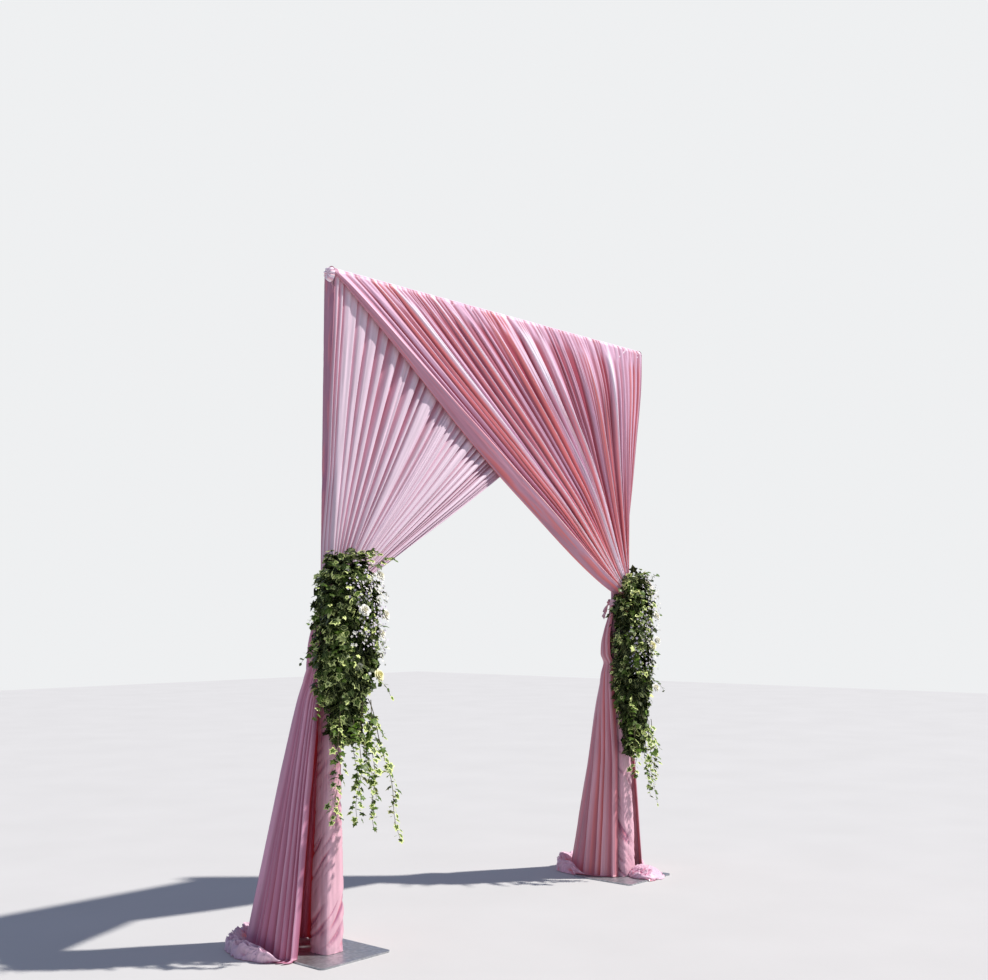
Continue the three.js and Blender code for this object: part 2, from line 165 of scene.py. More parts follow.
# ---- Steel frame
# Two square tube posts stand in sockets welded to flat base plates. Angle brackets on their fronts carry the round
# bar. The steel is galvanised and a little scuffed, and the open tube ends have black moulded caps.

SIDES = {"left": -1, "right": 1}


def group_of(name, inputs, outputs=("Color", "Roughness", "Height")):
    """An empty shader node group with named inputs, each with its usual value, and named outputs."""
    group = bpy.data.node_groups.new(name, "ShaderNodeTree")
    for label, value in inputs.items():
        kind, value = ("Color", (*value, 1)) if isinstance(value, tuple) else ("Float", value)
        group.interface.new_socket(label, in_out="INPUT", socket_type="NodeSocket" + kind).default_value = value
    for label in outputs:
        kind = "Float" if label in ("Roughness", "Height") else "Color"
        group.interface.new_socket(label, in_out="OUTPUT", socket_type="NodeSocket" + kind)
    return group, group.nodes.new("NodeGroupInput").outputs, group.nodes.new("NodeGroupOutput")


def ranged(tree, value, low, high, to_low=0.0, to_high=1.0, curve="LINEAR"):
    """A value from low to high as one from to_low to to_high."""
    return given(tree, "MapRange", {"interpolation_type": curve}, Value=value, From_Min=low, From_Max=high,
                 To_Min=to_low, To_Max=to_high)


def reckoned(tree, operation, *values, kind="Math"):
    """The result of a sum with values or sockets."""
    return given(tree, kind, {"operation": operation}, **{f"i{n}": value for n, value in enumerate(values)})


def surfaced(tree, shader, color, roughness, height, strength, depth, invert=False):
    """Gives the shader a colour, a roughness and a relief that change over the surface."""
    relief = given(tree, "Bump", {"invert": invert}, Strength=strength, Distance=depth, Height=height)
    wire(tree, shader, Base_Color=color, Roughness=roughness, Normal=relief)


mottle, into, out_of = group_of("mottled_coat", {"Light": (0.6, 0.6, 0.6), "Dark": (0.4, 0.4, 0.4), "Grain": 60.0,
                                                 "Smooth": 0.3, "Rough": 0.5})
where = given(mottle, "TexCoord", output="Object")
crystals = given(mottle, "TexVoronoi", Vector=where, Scale=into["Grain"])
spread = given(mottle, "TexNoise", Vector=where, Scale=9.0, Detail=6.0, Roughness=0.6)
share = ranged(mottle, reckoned(mottle, "MULTIPLY_ADD", crystals, 0.7, spread), 0.45, 1.05)
wire(mottle, out_of, Color=mixed(mottle, share, into["Light"], into["Dark"]), Height=share,
     Roughness=ranged(mottle, spread, 0.3, 0.7, into["Smooth"], into["Rough"]))


def coated(name, light, dark, grain, smooth, rough, depth, **values):
    """A hard finish from the mottled coat, with a shallow relief."""
    finish, tree, shader = finish_of(name, **values)
    coat = add(tree, "Group", {"node_tree": mottle}, Light=light, Dark=dark, Grain=grain, Smooth=smooth, Rough=rough)
    surfaced(tree, shader, *coat.outputs, strength=0.5, depth=depth)
    return finish


galvanised = coated("galvanised_steel", (0.62, 0.63, 0.65), (0.40, 0.41, 0.43), 55.0, 0.32, 0.55, 0.0004,
                    Metallic=0.85)
moulded = coated("moulded_cap", (0.022, 0.022, 0.024), (0.035, 0.035, 0.037), 900.0, 0.42, 0.6, 0.0001)
STEEL_PARTS = ("base_plate", "socket", "post", "beam_bracket")
CAP_PARTS = ("post_cap", "bar_end_cap")
steel = ["crossbar"] + [f"{side}_{part}" for side in SIDES for part in STEEL_PARTS]
caps = [f"{side}_{part}" for side in SIDES for part in CAP_PARTS]
for names, finish in ((steel, galvanised), (caps, moulded)):
    for name in names:
        nodes[name].data.materials.clear()
        nodes[name].data.materials.append(finish)

# ---- Rear drape
# A wide length of thin satin-faced cloth thrown over the bar, with a short flap behind.
# It is pleated by hand along the bar and drawn down to the left post, so its pleats run out like a fan.


def lerp(a, b, t):
    return a + (b - a) * t


def ease(low, high, value):
    """0 below low, 1 above high, smooth between."""
    t = np.clip((value - low) / (high - low), 0, 1)
    return t * t * (3 - 2 * t)


def cloudy_at(u, v, seed, octaves=3):
    """Soft random values from 0 to 1 that change over one unit of u and v, with finer ones added."""
    draw = np.random.default_rng(seed)
    size = 61
    total, weight = 0, 0
    for k in range(octaves):
        lattice = draw.random((size, size))
        x, y = u * 2 ** k + draw.uniform(0, size), v * 2 ** k + draw.uniform(0, size)
        i, j = np.floor(x).astype(int), np.floor(y).astype(int)
        a, b = ease(0, 1, x - i), ease(0, 1, y - j)
        low, high = (lerp(lattice[i % size, n % size], lattice[(i + 1) % size, n % size], a) for n in (j, j + 1))
        total, weight = total + lerp(low, high, b) * 0.5 ** k, weight + 0.5 ** k
    return total / weight


def rumpled(across, along, seed, size_across, size_along, octaves=3):
    """Crossing creases from 0 to 1, crisp along their crests, of about the given sizes in metres."""
    u, v = across / size_across, along / size_along
    bend_u, bend_v = (0.5 * cloudy_at(u * 0.6, v * 0.6, seed + more) for more in (900, 901))
    return np.clip(1.25 - 3.2 * abs(cloudy_at(u + bend_u, v + bend_v, seed, octaves) - 0.5), 0, 1)


bar_low, bar_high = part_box("crossbar")
BAR_Y, BAR_Z = (bar_low.y + bar_high.y) / 2, (bar_low.z + bar_high.z) / 2
sleeve_low, sleeve_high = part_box("left_post_sleeve")
SLEEVE_HALF = (sleeve_high.x - sleeve_low.x) / 2
POST_X = -(post_low.x + post_high.x) / 2
tie_low, tie_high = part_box("left_tie_band")
TIE_TOP, TIE_FOOT = tie_high.z + 0.003, tie_low.z - 0.003
BUNDLE_BACK, BUNDLE_FRONT = POST_Y - SLEEVE_HALF - 0.001, tie_low.y + 0.0045
BUNDLE_HALF = 0.047
LEFT_END, RIGHT_END = -1.212, 1.228
SLIT_HALF, SLIT_TOP = 0.0385, BAR_Z - 0.014


class Folds:
    """A row of folds side by side, from 0 to 1. Wide ones stand higher; each leans and swells in its own way."""

    def __init__(self, seed, count, unevenness, low=0.3, sharpness=(0.8, 1.2), valleys=0.12, lean=0.35,
                 first=(), last=()):
        draw = np.random.default_rng(seed)
        widths = np.clip(draw.lognormal(0, unevenness, count), 0.35, 1.8)
        widths = widths / widths.mean()
        widths[:len(first)] = first
        widths[count - len(last):] = last
        self.edges = np.concatenate([[0], np.cumsum(widths) / widths.sum()])
        self.height = np.clip(widths ** 0.55 * draw.uniform(0.75, 1.1, count), low, 1.15) / 1.15
        self.lean = draw.uniform(-lean, lean, count)
        self.valley = draw.uniform(0, valleys, count + 1)
        self.sharpness = draw.uniform(*sharpness, count)
        self.beat, self.start = draw.uniform(0.4, 1.3, count), draw.uniform(0, 6.28, count)

    def at(self, q, fall):
        """Heights from 0 to 1 at places q across the cloth, fall of the way down."""
        k = np.clip(np.searchsorted(self.edges, q, "right") - 1, 0, len(self.height) - 1)
        t = np.clip((q - self.edges[k]) / (self.edges[k + 1] - self.edges[k]), 0, 1)
        floor = lerp(self.valley[k], self.valley[k + 1], ease(0, 1, t))
        t = t + self.lean[k] * np.sin(2 * np.pi * t) / (2 * np.pi)
        height = self.height[k] * (1 + 0.16 * np.sin(self.beat[k] * 6.28 * fall + self.start[k]))
        return floor + (height - floor) * ((1 - np.cos(2 * np.pi * t)) / 2) ** self.sharpness[k]


def streaked(tree, lie, scale, **values):
    """Flat noise on the lie of the surface, as fine across and along it as scale says."""
    way = given(tree, "Mapping", Vector=lie, Scale=scale)
    return given(tree, "TexNoise", {"noise_dimensions": "2D"}, Vector=way, Scale=1.0, **values)


def on_points(tree, *keys):
    """The named values that a mesh has on its points."""
    return [given(tree, "Attribute", {"attribute_name": key}, "Fac") for key in keys]


# The cloth's colour is painted light and shade, set by each point's painted shade and side: the crest colour is a
# painted highlight, the valley colour painted shade down between the folds, and the warm colour a painted glow on
# the sides that fall away. The Glow output is a painted glow for the emission. The streaks, the knit and the rumples
# are the cloth's own.
weave, into, out_of = group_of(
    "woven_cloth_painted_shade",
    {"Crest": (0.85, 0.7, 0.8), "Middle": (0.7, 0.35, 0.4), "Valley": (0.5, 0.05, 0.06), "Warm": (0.8, 0.25, 0.2),
     "Fold": 0.5, "Side": 0.5, "Crease": 1.0},
    ("Color", "Roughness", "Height", "Glow"))
lie = given(weave, "UVMap", {"uv_map": "cloth"})
painted_glow_side, high, deep = (ranged(weave, into[name], low, top, curve="SMOOTHSTEP")
                     for name, low, top in (("Side", 0.5, 0.95), ("Fold", 0.40, 0.80), ("Fold", 0.0, 0.42)))
upper = mixed(weave, high, mixed(weave, painted_glow_side, into["Middle"], into["Warm"]), into["Crest"])
streaks = streaked(weave, lie, (60, 2.2, 1), Detail=3.0)
tinted = given(weave, "VectorMath", {"operation": "SCALE"}, i0=mixed(weave, deep, into["Valley"], upper),
               Scale=ranged(weave, streaks, 0.3, 0.7, 0.84, 1.07))
threads = add(weave, "SeparateXYZ", i0=given(weave, "Mapping", Vector=lie, Scale=(5200, 5200, 1)))
knit = reckoned(weave, "MULTIPLY", *(reckoned(weave, "SINE", threads.outputs[way]) for way in "XY"))
rumple = streaked(weave, lie, (38, 7, 1), Detail=4.0, Roughness=0.55)
creased = reckoned(weave, "MULTIPLY", rumple, into["Crease"])
painted_glow_share = reckoned(weave, "MULTIPLY", reckoned(weave, "SUBTRACT", 1.0, high), painted_glow_side)
wire(weave, out_of, Color=tinted, Roughness=ranged(weave, rumple, 0.3, 0.7, 0.46, 0.62),
     Height=reckoned(weave, "MULTIPLY_ADD", knit, 0.0004, creased),
     Glow=given(weave, "VectorMath", {"operation": "SCALE"}, i0=into["Warm"], Scale=painted_glow_share))


def cloth_finish(name, crest, middle, valley, warm, crease=1.0, depth=0.004, sheen=0.3, glow=0.0, **values):
    """Thin satin-faced cloth with painted light: a painted highlight on the crests of its folds, painted shade deep
    red down between them, and a painted warm glow on the sides to the light. Its emission is a painted glow for the
    light that falls on the other side and comes through, as glow says."""
    finish, tree, shader = finish_of(name, Sheen_Weight=sheen, Sheen_Roughness=0.35, Sheen_Tint=(0.93, 0.9, 1),
                                     Emission_Strength=glow, **values)
    fold, side = on_points(tree, "fold", "side")
    color, roughness, height, through = add(
        tree, "Group", {"node_tree": weave}, Crest=crest, Middle=middle, Valley=valley, Warm=warm,
        Fold=fold, Side=side, Crease=crease).outputs
    surfaced(tree, shader, color, roughness, height, strength=0.6, depth=depth)
    # From behind, the emission takes the cloth's colour made warm: a painted glow for light coming through the
    # cloth.
    reverse = given(tree, "NewGeometry", output="Backfacing")
    painted_back_glow = reckoned(tree, "MULTIPLY", color, [0.9 * c for c in warm], kind="VectorMath")
    wire(tree, shader, Emission_Color=mixed(tree, reverse, through, painted_back_glow))
    return finish


def cloth_lie(grid):
    """Each point's place on the flat cloth, in metres: across by the widest row, along by the way down."""
    across, along = (np.concatenate([[0], np.cumsum(np.linalg.norm(np.diff(grid, axis=way), axis=2).mean(1 - way))])
                     for way in (1, 0))
    return np.stack(np.meshgrid(across, along), -1)


def cloth_object(name, grid, fold, finish, keep=None, closed=False, warm_way=1.0):
    """A cloth from its grid of points. fold is each point's painted shade, which follows its height in the
    folds, and keep says which points stay, so that a slit can be cut. Where the painted shade falls away towards
    warm_way along the columns, that side gets the painted warm glow."""
    rows, columns, _ = grid.shape
    faces = grid_faces(rows, columns, closed)
    if keep is not None:
        faces = faces[keep.ravel()[faces].all(1)]
    fold = np.clip(fold + 0 * grid[..., 0], 0, 1)
    fall_away = -np.gradient(fold, axis=1)
    side = 0.5 + 0.5 * np.tanh(warm_way * fall_away / (1e-6 + np.percentile(abs(fall_away), 75)))
    used, compact = np.unique(faces, return_inverse=True)
    piece = mesh_object(name, grid.reshape(-1, 3)[used], compact.reshape(-1, 4), finish, fold=fold.ravel()[used],
                        side=side.ravel()[used], cloth=cloth_lie(grid).reshape(-1, 2)[used])
    piece.shadow_terminator_geometry_offset = 0.2
    return piece


def fitted(piece, slot, *stands_for):
    """A piece attached to the arch, with the nodes of the frame that it stands for hidden. slot, its material slot,
    is not used.
    """
    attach(piece, "root")
    if stands_for:
        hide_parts(*stands_for)
    return piece


ROWS = {"flap": 5, "turn": 13, "fan": 84, "tie": 4}
KIND = np.repeat(np.arange(4), list(ROWS.values()))[:, None]
STEP = np.concatenate([np.arange(n) / (n - (name == "tie")) for name, n in ROWS.items()])[:, None]
FALL = np.select([KIND == 2, KIND == 3], [STEP ** 1.5, 1.0], 0.0)


def hung(out, across, lift, wrap, flap, stand, sag, relief, turned_back):
    """The points of a drape, and which of them stay. across is a point's place on the header, from 0 at its own post
    to 1 at the far end, and lift its height in the folds, from 0 in a valley to 1 on a ridge. wrap is how far the
    cloth lies from the bar's axis, and stand how far its front hangs off. relief is how far valleys lie back and
    ridges come forward, and turned_back how far the near edge lies back."""
    # The fan: from the bar down to the tie, where the folds close up into a bundle against the post.
    x_header = lerp(RIGHT_END, LEFT_END, across if out > 0 else 1 - across)
    x = lerp(x_header, out * (POST_X + BUNDLE_HALF * (1 - 2 * across)), FALL)
    z = lerp(BAR_Z, TIE_TOP, FALL) - sag * across ** 2 * np.sin(np.pi * FALL ** 1.15)
    stand = stand * (0.35 + 0.65 * ease(0, 0.25, across))
    below, pulled = (1 - np.exp(-np.clip(BAR_Z - z, 0, 3) / reach) for reach in (0.2, 0.06))
    released = (1 - ease(0.1, 0.7, across)) * ease(0.05, 0.5, FALL)
    gather = ease(0.55 * ease(0, 0.6, across), 1, FALL)
    deepened = lerp(pulled, below, 0.5) * (0.5 + 0.5 * ease(0.05, 0.5, FALL))
    valley = BAR_Y - wrap - stand * below * (1 - released) + relief[0] * deepened
    valley = lerp(valley, BUNDLE_BACK, gather)
    near = 0.35 + 0.65 * ease(0, 0.2, across)
    bundle = (BUNDLE_BACK - BUNDLE_FRONT) * (0.25 + 0.75 * ease(0, 0.35, across))
    depth = lerp((relief[0] + relief[1]) * deepened * near, bundle, gather ** 1.5) + 0.009 * (1 - below)
    y = valley - lift * depth + turned_back * (1 - 0.6 * ease(0.93, 1, FALL))
    z = np.where(KIND == 3, lerp(TIE_TOP, TIE_FOOT, STEP), z)
    # The turn over the bar, where the folds begin.
    radius = wrap + lift * lerp(0.0015, 0.009, ease(0.68, 0.99, STEP))
    y = np.where(KIND == 1, BAR_Y + radius * np.cos(np.pi * STEP), y)
    z = np.where(KIND == 1, BAR_Z + radius * np.sin(np.pi * STEP), z)
    # The flap behind the bar, short beyond the posts and slit where a post stands behind it.
    from_post = abs(abs(x) - POST_X)
    free = (1 - STEP) * np.clip((from_post - 0.045) / 0.05, 0, 1)
    y = np.where(KIND == 0, BAR_Y + wrap + 0.0025 * lift + 0.007 * lift * free, y)
    short = 1 - 0.8 * ease(POST_X + 0.03, POST_X + 0.07, abs(x))
    z = np.where(KIND == 0, BAR_Z - flap * (1 - STEP) * short, z)
    slit = (KIND == 0) & (from_post < SLIT_HALF) & (z < SLIT_TOP)
    return np.stack([x, y, z], -1), ~slit


def wander(q, seed, size):
    """How far the fold lines stray sideways on their way down."""
    draw = np.random.default_rng(seed)
    waves = [np.sin(draw.uniform(4, 16) * q + draw.uniform(2, 7) * FALL + draw.uniform(0, 6.28)) for _ in range(4)]
    return size * sum(waves) * np.sin(np.pi * q)


def shade_of(lift, below):
    """The painted shade of a drape: even on the flap, a painted highlight along the top of the bar, and below it as
    given.
    """
    over = lerp(1.0, lift, ease(0.61, 0.78, STEP))
    return np.select([KIND == 0, KIND == 1], [lerp(0.6, lift, 0.3), over], below)


# The rear cloth's four colours are painted light and shade on its pleats.
rear_finish = cloth_finish("rear_cloth", (0.72, 0.57, 0.66), (0.67, 0.43, 0.53), (0.58, 0.25, 0.33),
                           (0.74, 0.40, 0.47), crease=0.5, glow=0.05)
q = np.linspace(0, 1, 860)[None, :]
# The pleats, finer folds that split some of them, close gathers at the bar, and a broad unevenness over them all.
pleats = Folds(11, 26, 0.4, low=0.62, sharpness=(0.45, 0.8), valleys=0.15, lean=0.6, first=(0.32, 0.36, 0.9, 0.8))
fine = Folds(12, 66, 0.35).at(q, FALL)
gathers = Folds(13, 78, 0.3).at(q, FALL)
broad = Folds(14, 9, 0.4, low=0.6, sharpness=(0.5, 0.9), valleys=0.3).at(q, FALL)
lift = pleats.at(q + wander(q, 3, 0.0012), FALL)
lift = lerp(lift, ease(0.04, 0.48, lift), 0.75) * (0.82 + 0.18 * broad)
split = ease(0.52, 0.70, cloudy_at(q * 14, FALL * 1.5, 15, 2))
lift = lift - 0.30 * split * (1 - fine) * lift
lift = lerp(lift, 0.25 * broad + 0.75 * pleats.at(q, FALL), 0.6 * ease(0.6, 0.97, FALL))
calm = np.exp(-((q - 0.52) / 0.09) ** 2) * ease(0.12, 0.5, FALL)
lift = lerp(lift, 0.78 + 0.22 * fine, 0.6 * calm)
lift = lerp(lift, 0.5 * gathers + 0.5 * lift, 1 - ease(0, 0.06, FALL))
# The lift of the pleats is painted as shade, pale on the ridges and dark in the valleys, and painted lighter towards
# the tie.
shade = shade_of(lift, lift)
shade = shade + 0.22 * ease(0.3, 0.85, FALL) * (1 - shade)
back = (0.012 * ease(0.1, 0.6, FALL) + 0.04 * ease(0.55, 0.92, FALL)) * (1 - ease(0, 0.045, q))
grid, keep = hung(-1, q + 0 * FALL, lift, wrap=0.0225, flap=0.12, stand=0.010, sag=0.025, relief=(0.034, 0.018),
                  turned_back=back)
grid[..., 0] += 0.012 * (1 - ease(0, 0.04, q)) * (1 - FALL)
rear = fitted(cloth_object("rear_drape_cloth", grid, shade, rear_finish, keep), "rear_cloth", "rear_drape")

# ---- Front drape
# A second length of the same cloth over the first, drawn down to the right post, with closer and deeper folds.
# Its free edge is rolled under into a broad band that runs down across the opening.

# The front cloth's colours are painted light and shade: a painted highlight on crests, painted deep red shade in
# valleys, and a painted warm glow.
front_finish = cloth_finish("front_cloth", (0.98, 0.85, 0.94), (0.71, 0.43, 0.58), (0.31, 0.018, 0.045),
                            (0.89, 0.27, 0.27), glow=0.07)
MAIN, BAND, CURL = 830, 20, 10
q = np.linspace(0, 1, MAIN)[None, :]
width = lerp(RIGHT_END - LEFT_END, 2 * BUNDLE_HALF, FALL)
band_width = 0.025 + 0.075 * ease(0, 0.45, FALL) - 0.03 * ease(0.5, 1, FALL)
band_share = np.minimum(0.3, band_width / width)
pleats = Folds(21, 30, 0.62, low=0.34, sharpness=(0.5, 1.7), valleys=0.32, lean=0.65,
               first=(0.55, 0.5, 0.6, 0.45, 0.7, 0.6, 1.5), last=(0.8, 1.2, 0.6, 1.1, 0.7, 0.6, 1.0, 0.5, 0.8))
fine = Folds(22, 76, 0.4, sharpness=(0.7, 1.6)).at(q, FALL)
gathers = Folds(23, 66, 0.4, sharpness=(0.6, 1.2)).at(q, FALL)
broad = Folds(24, 8, 0.45, low=0.6, sharpness=(0.6, 1.1), valleys=0.3).at(q, FALL)
lift = pleats.at(q + wander(q, 5, 0.0015), FALL) * (0.66 + 0.34 * broad)
split = ease(0.42, 0.68, cloudy_at(q * 13, FALL * 1.6, 25, 2))
lift = lift - (0.17 + 0.32 * split) * (1 - fine) * lift
lift = lerp(lift, 0.3 * broad + 0.7 * pleats.at(q, FALL), 0.5 * ease(0.6, 0.97, FALL))
lift = lerp(lift, 0.5 * gathers + 0.5 * lift, 1 - ease(0, 0.07, FALL))
rise = ease(1 - 0.022, 1, q)
lift = lift * (1 - rise) + 0.9 * rise
# The rolled edge: a band that falls away from the last fold, and a curl that turns back under it.
t, curl = (np.linspace(0, 1, count + 1)[None, 1:] + 0 * FALL for count in (BAND, CURL))
band_lift = 0.9 - 0.68 * t ** 1.5 + 0.02 * np.sin(9 * t + 5 * FALL)
turn = np.clip(curl / 0.45, 0, 1) * np.pi
across = np.concatenate([q * (1 - band_share), 1 - band_share * (1 - t), 1 + 0 * curl], 1)
lift = np.concatenate([lift, band_lift, 0.22 - 0.11 * (1 - np.cos(turn))], 1)
back = (0.008 * ease(0.1, 0.5, FALL) + 0.03 * ease(0.4, 0.9, FALL)) * (1 - ease(0, 0.05, across))
grid, keep = hung(1, across, lift, wrap=0.0285, flap=0.09, stand=0.042, sag=0.135, relief=(0.014, 0.044),
                  turned_back=back)
tucked = 0.0045 * np.sin(turn) - 0.03 * np.clip((curl - 0.45) / 0.55, 0, 1)
tucked *= (0.3 + 0.7 * ease(0, 0.1, FALL)) * (1 - 0.7 * ease(0.9, 1, FALL))
grid[:, MAIN + BAND:] -= tucked[..., None] * np.array([0.54, 0, 0.84])
# The painted shade: the close gathers under the bar are painted more even in tone, and the folds' painted shade
# deepens towards the tie.
header = (1 - ease(0, 0.10, FALL)) * (KIND == 2) * np.clip(1.15 - 0.9 * across, 0, 1)
shade = shade_of(lift, lift ** 1.1)
shade = lerp(shade, 0.20 + 0.42 * shade, 0.75 * header)
shade = lerp(shade, 1.5 * shade - 0.36, ease(0.45, 0.9, FALL))
# The painted highlight on the last fold before the rolled edge is toned down.
shade[:, :MAIN] *= 1 - 0.34 * ease(0.972, 0.988, q) * (KIND == 2) * (1 - ease(0.3, 0.7, FALL))
# The rolled band and the curl under it are painted in shade, darker towards the rim.
shade[:, MAIN:MAIN + BAND] = lerp(0.27, 0.21, t ** 2) + 0.12 * (cloudy_at(t * 2.5, FALL * 7, 29) - 0.5)
shade[:, MAIN + BAND:] = 0.25 - 0.08 * curl
# painted_glow_warmth: how strongly the sides of the folds take the painted glow, more towards the tie and most on
# the rim of the band, and less on the gathers and over the bar.
painted_glow_warmth = np.concatenate([3.6 * cloudy_at(q * 15, FALL * 0.8, 28, 2) - 1.25,
                         lerp(1.0, 4.0, ease(0.2, 0.8, FALL)) + 5 * t ** 6, 8 + 0 * curl], 1)
painted_glow_warmth = np.maximum(painted_glow_warmth, 0.05 + 1.3 * ease(0.5, 0.95, FALL)) * (1 - 0.6 * header) * np.where(KIND == 1, 0.3, 1)
front = fitted(cloth_object("front_drape_cloth", grid, shade, front_finish, keep, warm_way=painted_glow_warmth), "front_cloth",
               "front_drape")

# At the bar's two ends the cloth is tucked into the round opening of its own turn.
TUCKS = {"left": {"seed": 26, "droop": 0.006, "end": -LEFT_END - 0.004},
         "right": {"seed": 27, "droop": 0.020, "end": RIGHT_END - 0.004}}
BAR_TIP, TUCK_RADIUS = 1.2275, 0.0315
for side, tuck in TUCKS.items():
    angle = np.linspace(0, 2 * np.pi, 96, endpoint=False)[None, :]
    inward = np.linspace(0, 1, 16)[:, None]
    pinched = rumpled(angle * 0.05, inward * 0.03, tuck["seed"], 0.02, 0.03)
    down = np.clip(-np.sin(angle), 0, 1)
    pucker = np.sin(7 * angle + 2.5 * inward + 1.3 * np.sin(2 * angle))
    reach = (TUCK_RADIUS + tuck["droop"] * down ** 3) * (1 - inward ** 1.5)
    reach = reach + 0.0018 * pucker * np.sin(np.pi * inward)
    x = lerp(tuck["end"], max(tuck["end"] + 0.0125, BAR_TIP), ease(0, 0.5, inward))
    x = SIDES[side] * (x + 0.002 * (pucker + pinched) * np.sin(np.pi * inward ** 0.7))
    grid = np.stack([x + 0 * reach, BAR_Y - reach * np.cos(angle), BAR_Z + reach * np.sin(angle)], -1)
    # Their tone is painted shade that follows the puckers.
    fitted(cloth_object(f"front_drape_tuck_{side}", grid, 0.55 + 0.12 * pucker + 0.1 * pinched,
                                     front_finish, closed=True), "front_cloth")

# ---- Post sleeves
# Each post stands in a sleeve of the same pink cloth, sewn closed at the top and slit in front for the bracket.
# It is pulled down over the post, so it lies nearly flat above and bunches in small creases towards the floor.

SLOT_HALF, SLOT_LOW = 0.027, bar_low.z - 0.103


def squared(angle, power):
    """How far a square with rounded corners reaches at an angle, for a half-width of 1."""
    return (abs(np.cos(angle)) ** power + abs(np.sin(angle)) ** power) ** (-1 / power)


sleeve_finish = cloth_finish("sleeve_cloth", (0.75, 0.44, 0.52), (0.42, 0.16, 0.26), (0.32, 0.06, 0.10),
                             (0.60, 0.19, 0.25), crease=1.3, glow=0.03)
for side, out in SIDES.items():
    seed = 31 + (out > 0)
    low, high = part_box(f"{side}_post_sleeve")
    centre = (low + high) / 2
    half = (high.x - low.x) / 2
    columns, rows, closing = 120, 290, 9
    height = np.append(np.linspace(low.z + 0.001, high.z - 0.003, rows), np.full(closing, high.z - 0.001))[:, None]
    close = np.append(np.ones(rows), np.linspace(0.97, 0.0, closing))[:, None]
    angle = (np.linspace(0, 2 * np.pi * 1.012, columns) + np.pi / 2)[None, :]
    lap = 0.0015 * ease(2 * np.pi * 0.985, 2 * np.pi, angle - np.pi / 2)
    flare = 0.014 * (1 - ease(0.05, 0.75, height))
    shape = squared(angle, lerp(9.0, 5.0, 1 - ease(0.05, 0.9, height)))
    around = angle * half * 1.27
    bunch = 1 - ease(0.35, 1.25, height)
    slant = height + out * around * (0.95 + 0.4 * np.sin(5 * height + out))
    creases = rumpled(around, slant, seed, 0.10, 0.030)
    drag = rumpled(around, slant * 0.3, seed + 2, 0.045, 0.05, 2)
    puff = lerp(0.0016 * drag + 0.0006 * creases, 0.003 * drag + 0.009 * creases, bunch)
    reach = ((half - 0.0012 + flare) * shape + puff + lap) * close
    grid = np.stack([centre.x + reach * np.cos(angle), centre.y + reach * np.sin(angle),
                     height + 0.002 * (1 - close) * creases], -1)
    # Painted shade: an even middle tone above, where the top of the sleeve is in shade, and lower down painted
    # highlights on the crease crests and painted shade between them.
    shade = lerp(0.40 + 0.14 * drag, 0.05 + 0.22 * drag + 0.73 * creases, bunch)
    x, y, z = np.moveaxis(grid, -1, 0)
    in_slot = (abs(x - centre.x) < SLOT_HALF) & (y < centre.y - 0.02) & (z > SLOT_LOW) & (z < high.z - 0.006)
    sleeve = fitted(cloth_object(f"{side}_sleeve_cloth", grid, shade, sleeve_finish, ~in_slot), "sleeve_cloth",
                    f"{side}_post_sleeve")

# ---- Ties
# A satin ribbon goes three times round the gathered cloth and the post, pulled tight.
# It is knotted at the back of the post, and its two cut ends hang down from the knot.

